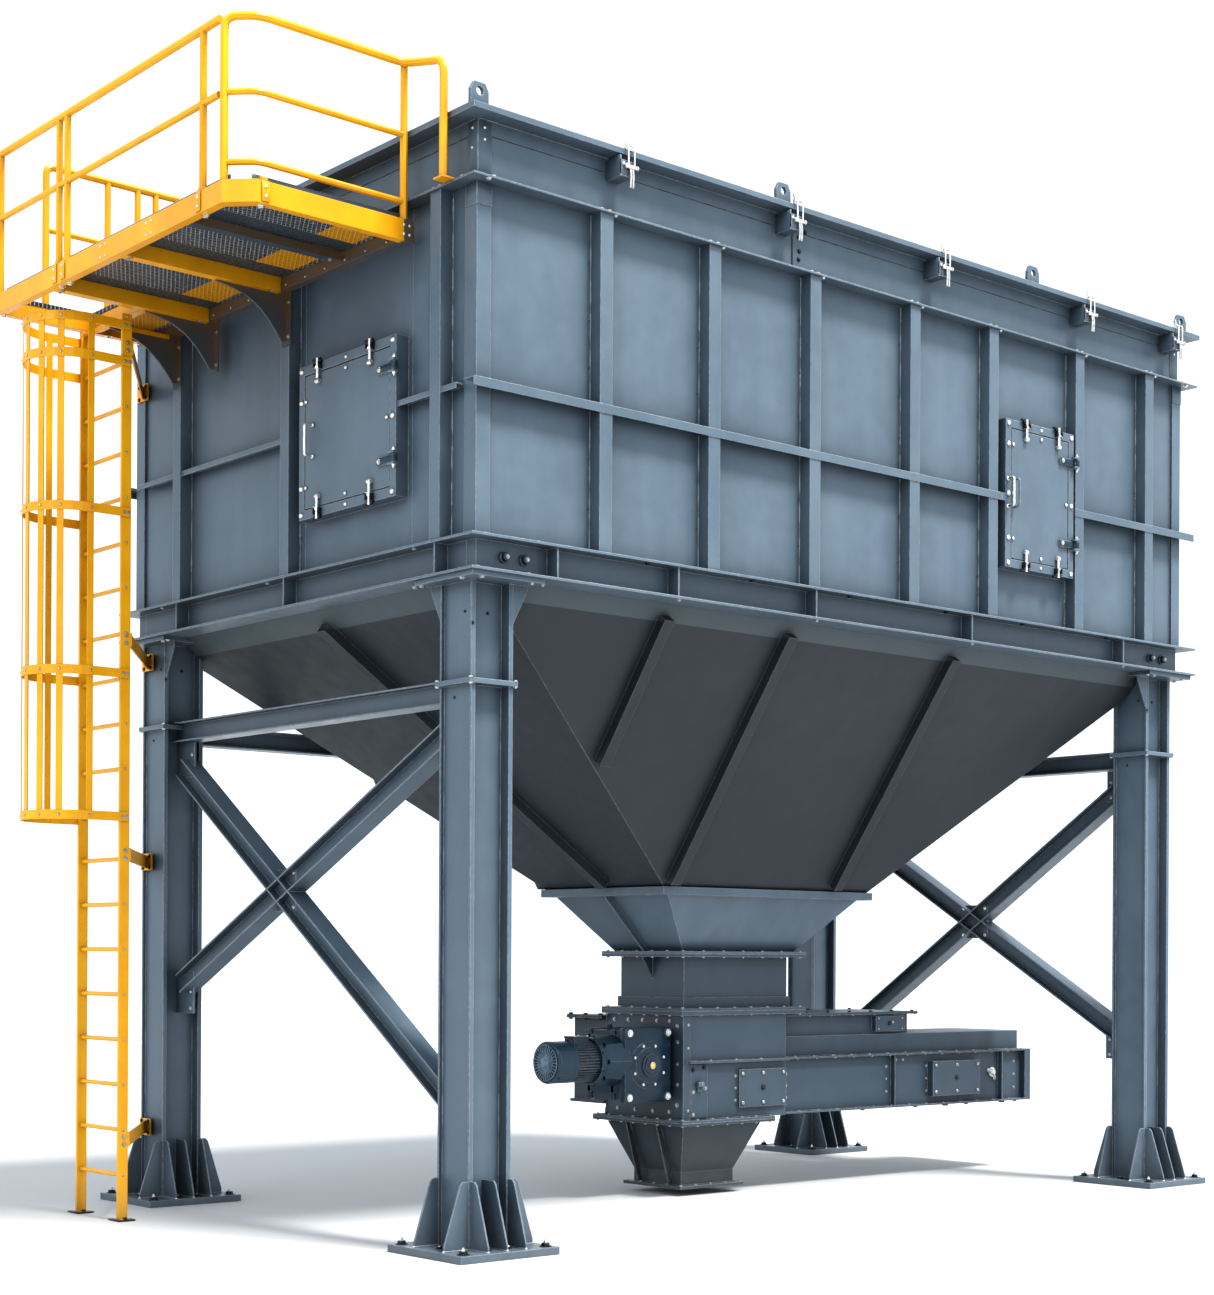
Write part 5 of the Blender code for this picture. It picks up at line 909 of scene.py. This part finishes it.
def build_column_details():
    """Anchor bolts, gusset welds, collar and cap bolts of the four columns."""
    steel, dark, welds = [], [], []
    foot_z, seam_z, gusset = BASE_TOP + 0.002, (0.46, 3.36), COLUMN_HALF + 0.175
    for sx, sy in CORNERS:
        x, y = sx * COLUMN[0], sy * COLUMN[1]
        outer = grid((x - 0.305, x + 0.305), (y - 0.305, y + 0.305), BASE_TOP)
        dark += spread(HEX_BOLT, outer, UP, 0.026)
        steel += spread(STUD_NUT, outer + (0, 0, 0.020), UP, 0.0125)
        inner = np.concatenate((grid((x - 0.075, x + 0.075), (y - 0.24, y + 0.24), BASE_TOP),
                                grid((x - 0.25, x + 0.25), y, BASE_TOP)))
        dark += spread(HEX_BOLT, inner, UP, 0.016)
        steel += spread(ROUND_HEAD, inner + (0, 0, 0.010), UP, 0.011)
        for out in SIDES:
            # Gussets: a weld along each foot, and a head at its outer end
            for across in (-0.140, 0.0, 0.140):
                u, root, tip = x + across, y + out * COLUMN_HALF, y + out * gusset
                welds.append(bead((u - 0.007, root, foot_z), (u - 0.007, tip, foot_z)))
                steel += domes(u, tip - out * 0.002, BASE_TOP, UP, 0.010)
            for across in (-0.148, 0.148):
                v, root, tip = y + across, x + out * COLUMN_HALF, x + out * gusset
                welds.append(bead((root, v - 0.007, foot_z), (tip, v - 0.007, foot_z)))
                steel += domes(tip - out * 0.002, v, BASE_TOP, UP, 0.010)
            # Seams inside the recesses
            for side in SIDES:
                for u, v in ((x + out * (COLUMN_HALF - 0.024), y + side * 0.139),
                             (x + side * 0.123, y + out * (COLUMN_HALF - 0.075))):
                    welds.append(bead((u, v, seam_z[0]), (u, v, seam_z[1]), 0.0035, 0.03, 0.3))
        collar = grid((x - 0.166, x + 0.166), (y - 0.166, y + 0.166), COLLAR_Z)
        steel += spread(HEX_BOLT, collar, UP, 0.0110)
        steel += spread(HEX_BOLT, collar - (0, 0, 0.030), DOWN, 0.0110)
        dark += spread(ROUND_HEAD, ((x - 0.147, y - 0.1555, 3.72), (x + 0.02, y - 0.0805, 3.80)),
                       FRONT, 0.010)
        dark += spread(ROUND_HEAD, ((x - 0.131, y - 0.06, 3.80), (x - 0.131, y + 0.04, 3.30)),
                       LEFT, 0.009)
    piece("column_bolts", steel, STEEL, angle=HEX_CREASE)
    piece("anchor_nuts", dark, BLACK, angle=HEX_CREASE)
    piece("column_welds", welds, WELD_PAINT)


# Neck, feeder, casing and chute

def oblong_row(middle_x, half, counts, z):
    """Places along the four sides of a rectangle in plan, evenly spaced between its corners."""
    x = np.linspace(-half[0], half[0], counts[0])
    y = np.linspace(-half[1], half[1], counts[1] + 2)[1:-1]
    long_sides = grid(middle_x + x, (-half[1], half[1]), z)
    short_sides = grid((middle_x - half[0], middle_x + half[0]), y, z)
    return np.concatenate((long_sides, short_sides))


# Middle in X, half sides, heads along them, top of the flange, its underside, size of a head
FLANGE_ROWS = (
    (0.26, (0.610, 0.420), (7, 4), 1.81, 1.7697, 0.0110),
    (0.26, (0.610, 0.420), (8, 5), 1.390, 1.340, 0.0120),
    (0.053, (0.450, 0.475), (7, 6), 0.573, 0.5327, 0.0105),
    (0.053, (0.300, 0.298), (5, 3), 0.073, None, 0.0105),
    (0.30, (1.060, 0.670), (13, 7), 2.225, None, 0.0100),
)


def build_flange_rows():
    """Bolts above and below each flange from the hopper down to the chute's foot."""
    steel = []
    for x, half, counts, over, under, size in FLANGE_ROWS:
        steel += spread(HEX_BOLT, oblong_row(x, half, counts, over), UP, size)
        if under:
            steel += spread(HEX_BOLT, oblong_row(x, half, counts, under), DOWN, size)
    piece("outlet_flange_bolts", steel, ZINC, angle=HEX_CREASE)


CASING_X = (0.73, 3.62)
CASING_Y = 0.385
CASING_FOOT = 0.573
FOOT_FLANGE_Z = 0.587
TOP_FLANGE_Z = (0.991, 1.005)
ROOF_FLANGE_Z = (1.317, 1.339)
HATCH_Y = 0.4455
HOOD_Y = 0.3655


def build_casing_details():
    """Bolts of the trough's flanges and joints, hatch bolts and knobs, and the drain fitting."""
    steel, dark, knobs, fitting = [], [], [], []
    x = np.linspace(CASING_X[0] + 0.10, CASING_X[1] - 0.05, 14)
    roof = np.linspace(1.02, 2.25, 6)
    for out in SIDES:
        side, edge, web = (0, out, 0), out * 0.412, out * CASING_Y
        hatch, hood, roof_y = out * HATCH_Y, out * HOOD_Y, out * 0.345
        # Flanges of the trough and of its roof, seen from above and from below
        steel += hexes(x, edge, TOP_FLANGE_Z[1], UP, 0.0105)
        steel += hexes(x + 0.03, edge, TOP_FLANGE_Z[0], DOWN, 0.0090)
        steel += hexes(x + 0.05, edge, FOOT_FLANGE_Z, UP, 0.0090)
        steel += hexes(roof + 0.04, roof_y, ROOF_FLANGE_Z[0], DOWN, 0.0085)
        dark += hexes(x[1::3], out * 0.34, CASING_FOOT, DOWN, 0.0200)
        dark += hexes((2.72, 3.45), out * 0.30, CASING_FOOT, DOWN, 0.0280)
        dark += hexes(roof, roof_y, ROOF_FLANGE_Z[1], UP, 0.0140)
        # Upright joints of the trough's side
        steel += hexes(1.90, web, (0.70, 0.80, 0.90), side, 0.0085)
        steel += hexes(3.50, web, (0.68, 0.79, 0.90), side, 0.0090)
        steel += hexes((2.02, 2.10), web, 0.95, side, 0.0075)
        steel += hexes(2.385, web, (0.69, 0.79, 0.89), side, 0.0090)
        # Hatch: a round head in each corner and in the middle of the long edges, and a knob
        steel += domes((2.435, 2.695, 2.955), hatch, (0.680, 0.895), side, 0.0150)
        knobs += domes(2.695, hatch, 0.790, side, 0.0180)
        steel += domes((1.83, 2.11), hood, (1.200, 1.285), side, 0.0090)
        knobs += domes(1.96, hood, 1.245, side, 0.0170)
        steel += domes(2.00, hood - out * 0.002, 1.252, side, 0.0120)
        # Drain fitting with its bent handle
        fitting += hexes(3.215, web, 0.815, side, 0.030)
        fitting += domes(3.165, web, 0.835, side, 0.018)
        fitting += domes(3.245, web, 0.765, side, 0.018)
        handle = ((3.165, out * 0.400, 0.835), (3.20, out * 0.425, 0.790),
                  (3.245, out * 0.400, 0.762))
        fitting.append(carried(rounded(handle, 0.02), circle(0.008, 8), (0, out, 0.1)))
    piece("casing_bolts", steel, ZINC, angle=HEX_CREASE)
    piece("casing_dark_bolts", dark, BLACK, angle=HEX_CREASE)
    piece("hatch_knobs", knobs, BLACK)
    piece("casing_fitting", fitting, STEEL)


FEEDER_LEFT = -0.3505
FEEDER_STRIP = -0.4425
FEEDER_HATCH = -0.4525


def build_feeder_details():
    """Bolts, hatch and hooked lug of the feeder head, and the bolts of the tail's cover."""
    left, strip, hatch = FEEDER_LEFT, FEEDER_STRIP, FEEDER_HATCH
    steel = hexes(left, -0.365, (0.68, 0.83, 0.98, 1.14, 1.26), LEFT, 0.0125)
    steel += hexes(left, (-0.28, -0.14, 0.02, 0.18, 0.34), 1.295, LEFT, 0.0110)
    steel += hexes(left, (-0.28, -0.10, 0.10, 0.30), 0.625, LEFT, 0.0110)
    steel += domes((0.235, 0.450, 0.665), hatch, (0.678, 0.898), FRONT, 0.0155)
    steel += hexes((0.180, 0.716), -0.4300, (0.70, 0.79, 0.88), FRONT, 0.0085)
    steel += spread(HEX_BOLT, ((-0.140, strip, 0.800), (-0.262, strip, 0.775),
                               (-0.262, strip, 0.610)), FRONT, 0.0105)
    steel += hexes(-0.310, -0.4385, (0.64, 1.10, 1.27), FRONT, 0.0080)
    steel += hexes((-0.10, 0.16, 0.42), (-0.455, 0.455), 1.003, UP, 0.0110)
    dark = domes(0.450, hatch, 0.790, FRONT, 0.0190)
    dark += hexes(-0.155, strip, 0.955, FRONT, 0.0125) + hexes(-0.265, strip, 0.940, FRONT, 0.0125)
    lug = [slab((-0.236, strip, 0.815), (-0.176, strip - 0.034, 0.850), 0.006),
           slab((-0.224, strip, 0.778), (-0.188, strip - 0.012, 0.830), 0.005),
           slab((-0.200, strip - 0.022, 0.790), (-0.188, strip - 0.036, 0.850), 0.004)]
    tail = []
    for x, y in ((-0.385, (0.465, 0.64, 0.815)), (0.425, (0.465, 0.815)), (0.02, 0.82)):
        tail += hexes(x, y, 1.322, UP, 0.0170) + hexes(x, y, 1.296, DOWN, 0.0150)
    piece("feeder_bolts", steel, ZINC, angle=HEX_CREASE)
    piece("feeder_dark_bolts", dark, BLACK, angle=HEX_CREASE)
    piece("feeder_lug", lug, SLATE_PAINT)
    piece("tail_cover_bolts", tail, BLACK, angle=HEX_CREASE)


# Drive. Its two axes: the motor's lies along X, as (y, z), and the shaft's along Y, as (x, z).

GEAR_X = (-0.810, -0.420)
GEAR_Z = (0.730, 1.233)
GEAR_FRONT = -0.330
SHAFT = (-0.615, 0.980)
MOTOR_AXIS = (-0.190, 1.015)
COWL_X = (-1.440, -1.265)
MOTOR_FLANGE_X = -1.066
FLANGE_RING = 0.172
FINS = 44
BARS = 30


def ring_of(middle, radius, count, start=0.0):
    """Places evenly round a circle that stands square to X, or to Y for a middle of (x, z)."""
    angle = start + np.arange(count) * 2 * math.pi / count
    return middle[0] + radius * np.cos(angle), middle[1] + radius * np.sin(angle)


def fin_barrel():
    """The finned body: radius is a square wave of the angle, the same along the axis, so that
    straight fins run along the motor between the cowl and its flange."""
    step = np.arange(FINS * 4)
    angle = step * 2 * math.pi / (FINS * 4)
    radius = np.where(step % 4 < 2, 0.1480, 0.1370)
    outline = np.stack((radius * np.cos(angle), radius * np.sin(angle)), -1)
    return carried(((COWL_X[1] + 0.002, *MOTOR_AXIS), (MOTOR_FLANGE_X, *MOTOR_AXIS)), outline)


def fan_grille(end):
    """Spokes from the hub to the rim, the hub itself, and two wire rings round it."""
    centre = np.array((end - 0.0165, *MOTOR_AXIS))
    shapes = []
    for angle in np.arange(BARS) * 2 * math.pi / BARS:
        way = np.array((0, math.cos(angle), math.sin(angle)))
        shapes.append(carried((centre + 0.034 * way, centre + 0.126 * way),
                              oblong(0.0042, 0.0035, 0.001), RIGHT))
    shapes.append(lathe(((end - 0.013, 0.040), (end - 0.021, 0.040), (end - 0.024, 0.030)),
                        MOTOR_AXIS, 24))
    for radius in (0.080, 0.128):
        path = np.column_stack((np.full(48, end - 0.017), *ring_of(MOTOR_AXIS, radius, 48)))
        shapes.append(carried(np.concatenate((path, path[:2])), circle(0.0032, 6), RIGHT))
    return shapes


def build_motor_details():
    """Fins, fan cowl and grille, flange with its bolts, and the terminal box's lid."""
    end = COWL_X[0]
    y, z = MOTOR_AXIS
    drive_piece("motor_fins", [fin_barrel()], DRIVE_PAINT)
    rim = ((end + 0.012, 0.1515), (end, 0.1515), (end - 0.010, 0.146), (end - 0.012, 0.132))
    drive_piece("motor_cowl_rim", [lathe(rim, MOTOR_AXIS)], DRIVE_PAINT)
    dark = lathe(((end - 0.0122, 0.131), (end - 0.0135, 0.131)), MOTOR_AXIS)
    drive_piece("motor_fan_dark", [dark], BLACK)
    drive_piece("motor_fan_grille", fan_grille(end), GRILLE)
    flange = ((MOTOR_FLANGE_X, 0.150), (-1.064, 0.170), (-1.040, FLANGE_RING), (-1.036, 0.160))
    drive_piece("motor_flange", [lathe(flange, MOTOR_AXIS)], DRIVE_PAINT)
    black = []
    for by, bz in zip(*ring_of(MOTOR_AXIS, 0.148, 4, math.pi / 4)):
        black += domes(end + 0.02, by, bz, (0, by - y, bz - z), 0.013)
    for by, bz in zip(*ring_of(MOTOR_AXIS, FLANGE_RING * 0.97, 8, math.pi / 8)):
        black += hexes(-1.052, by, bz, (0, by - y, bz - z), 0.010)
    drive_piece("motor_black_bolts", black, BLACK, angle=HEX_CREASE)
    top = z + 0.175
    lid = [slab((-1.240, y - 0.062, top - 0.006), (-1.098, y + 0.062, top + 0.008), 0.004)]
    for side in (y - 0.030, y + 0.030):
        lid.append(rod((-1.245, side, top - 0.035), (-1.215, side, top - 0.035), 0.014))
    drive_piece("terminal_box_lid", lid, DRIVE_PAINT)
    screws = domes((-1.228, -1.110), (y - 0.050, y + 0.050), top + 0.008, UP, 0.0075)
    drive_piece("terminal_box_screws", screws, STEEL)


def build_gearbox_details():
    """Front cover with its bosses and discs, ribs, breather, bolts, shaft cap and seat ring."""
    (x0, x1), (z0, z1) = GEAR_X, GEAR_Z
    front = GEAR_FRONT - 0.014
    cast = [slab((x0 - 0.030, front, z0 - 0.022), (x1 + 0.026, GEAR_FRONT + 0.050, z1 + 0.022),
                 0.012)]
    steel = hexes((x0 + 0.04, -0.615, x1 - 0.04), (-0.285, 0.10), z0, DOWN, 0.0150)
    for x in (x0 + 0.008, x1 - 0.010):
        for z in (z0 + 0.018, z1 - 0.018):
            cast.append(rod((x, front + 0.002, z), (x, front - 0.010, z), 0.033, 16))
            steel += hexes(x, front - 0.010, z, FRONT, 0.0185)
    for x, z in zip(*ring_of(SHAFT, 0.150, 8, math.pi / 8)):
        steel += hexes(x, front - 0.011, z, FRONT, 0.0075)
    steel += hexes((x0 + 0.06, x1 - 0.05), (-0.28, 0.09), z1, UP, 0.0125)
    # Discs round the shaft: the bolted one, the raised one on it and the shaft's end
    for levels, sides in (
            (((front + 0.002, 0.172), (front - 0.006, 0.172), (front - 0.011, 0.166)), 40),
            (((front, 0.128), (front - 0.020, 0.128), (front - 0.024, 0.122)), 40),
            (((-0.379, 0.062), (-0.386, 0.062), (-0.388, 0.055)), 32)):
        cast.append(lathe(levels, SHAFT, sides, "Y"))
    cap = lathe(((-0.387, 0.026), (-0.396, 0.026), (-0.401, 0.017)), SHAFT, 24, "Y")
    drive_piece("shaft_cap", [cap], BRASS)
    # Breather on top, and the ribs of the housing
    cast.append(rod((-0.74, -0.05, z1 - 0.002), (-0.74, -0.05, z1 + 0.045), 0.022, 16))
    cast.append(slab((x0 - 0.002, GEAR_FRONT + 0.03, z0 + 0.05), (x0 - 0.012, 0.11, z1 - 0.03),
                     0.008))
    for y0, y1 in ((-0.20, -0.16), (0.06, 0.10)):
        cast.append(slab((x0 - 0.012, y0, z0 - 0.008), (x1 + 0.004, y1, z1 + 0.010), 0.006))
    # The ring between the gearbox and the feeder
    seat = ((x1 - 0.002, 0.185), (x1 + 0.026, 0.185), (x1 + 0.030, 0.178), (-0.3503, 0.178))
    drive_piece("gearbox_seat_ring", [lathe(seat, (-0.100, 0.980))], DRIVE_PAINT)
    dark = []
    for y, z in zip(*ring_of(MOTOR_AXIS, FLANGE_RING * 0.98, 8)):
        dark += hexes(-1.010, y, z, RIGHT, 0.0110)
    drive_piece("gearbox_castings", cast, DRIVE_PAINT)
    drive_piece("gearbox_bolts", steel, STEEL, angle=HEX_CREASE)
    drive_piece("adapter_bolts", dark, BLACK, angle=HEX_CREASE)


# Floor, light and camera

FLOOR_HALF = 60.0
FLOOR_Z = -0.002


def add_object(name, data):
    made = bpy.data.objects.new(name, data)
    bpy.context.scene.collection.objects.link(made)
    return made


def build_stage():
    mesh = bpy.data.meshes.new("floor")
    size = FLOOR_HALF
    corners = ((-size, -size), (size, -size), (size, size), (-size, size))
    mesh.from_pydata([(x, y, FLOOR_Z) for x, y in corners], [], [(0, 1, 2, 3)])
    finish = Finish("pale_floor", (0.40, 0.40, 0.40), 0.9)
    finish.wear("Base Color", finish.blend(finish.noise(0.4), (0.52, 0.52, 0.52),
                                           (0.50, 0.50, 0.50)))
    mesh.materials.append(finish.material)
    add_object("floor", mesh)


def sun(name, way, strength, soft_degrees, colour):
    """A sun lamp whose light comes from the given direction."""
    lamp = bpy.data.lights.new(name, "SUN")
    lamp.energy = strength
    lamp.angle = math.radians(soft_degrees)
    lamp.color = colour
    made = add_object(name, lamp)
    made.rotation_euler = Matrix(frames((way,))[0]).transposed().to_euler()


def build_light():
    world = bpy.data.worlds.new("studio")
    world.use_nodes = True
    sky = world.node_tree.nodes["Background"]
    sky.inputs["Color"].default_value = (0.86, 0.93, 1.0, 1.0)
    sky.inputs["Strength"].default_value = 1.18
    scene = bpy.context.scene
    scene.world = world
    scene.view_settings.view_transform = "Standard"
    scene.view_settings.look = "Medium High Contrast"
    sun("key", (0.15, -0.52, 1.00), 5.6, 14, (1.0, 0.975, 0.94))
    sun("side", (-1.0, -0.30, 0.35), 0.5, 30, (0.86, 0.95, 1.0))


# The camera that was fitted to the photograph: its sizes are in the photograph's pixels
PHOTO_HEIGHT = 1295.0
FOCAL_PIXELS = 2184.5
HORIZON_ROW = 956.1
SENSOR = 36.0
CAMERA_PLACE = (-11.2011, -12.1716, 1.7714)
CAMERA_YAW = 40.726
CAMERA_ROLL = 0.3


def build_camera():
    """The photograph's view: level camera, upright lines kept upright by a lens shift."""
    lens = bpy.data.cameras.new("view")
    lens.sensor_width = SENSOR
    lens.lens = SENSOR * FOCAL_PIXELS / PHOTO_HEIGHT
    lens.shift_y = (HORIZON_ROW - PHOTO_HEIGHT / 2) / PHOTO_HEIGHT
    lens.clip_end = 200.0
    made = add_object("view", lens)
    level = Matrix.Rotation(math.pi / 2, 4, "X")
    aim = Matrix.Rotation(-math.radians(CAMERA_YAW), 4, "Z") @ level
    aim = aim @ Matrix.Rotation(math.radians(CAMERA_ROLL), 4, "Z")
    x, y, z = CAMERA_PLACE
    made.matrix_world = Matrix.Translation((x + BIN_MIDDLE, y, z)) @ aim
    bpy.context.scene.camera = made


dress_nodes()
build_lid_details()
build_corner_plates()
build_flange_bolts()
build_rib_welds()
for door in DOORS:
    door_fittings(*door)
build_platform_details()
build_bracket_bolts()
build_ladder_details()
build_brace_details()
build_ring_details()
build_column_details()
build_flange_rows()
build_casing_details()
build_feeder_details()
build_motor_details()
build_gearbox_details()
build_stage()
build_light()
build_camera()
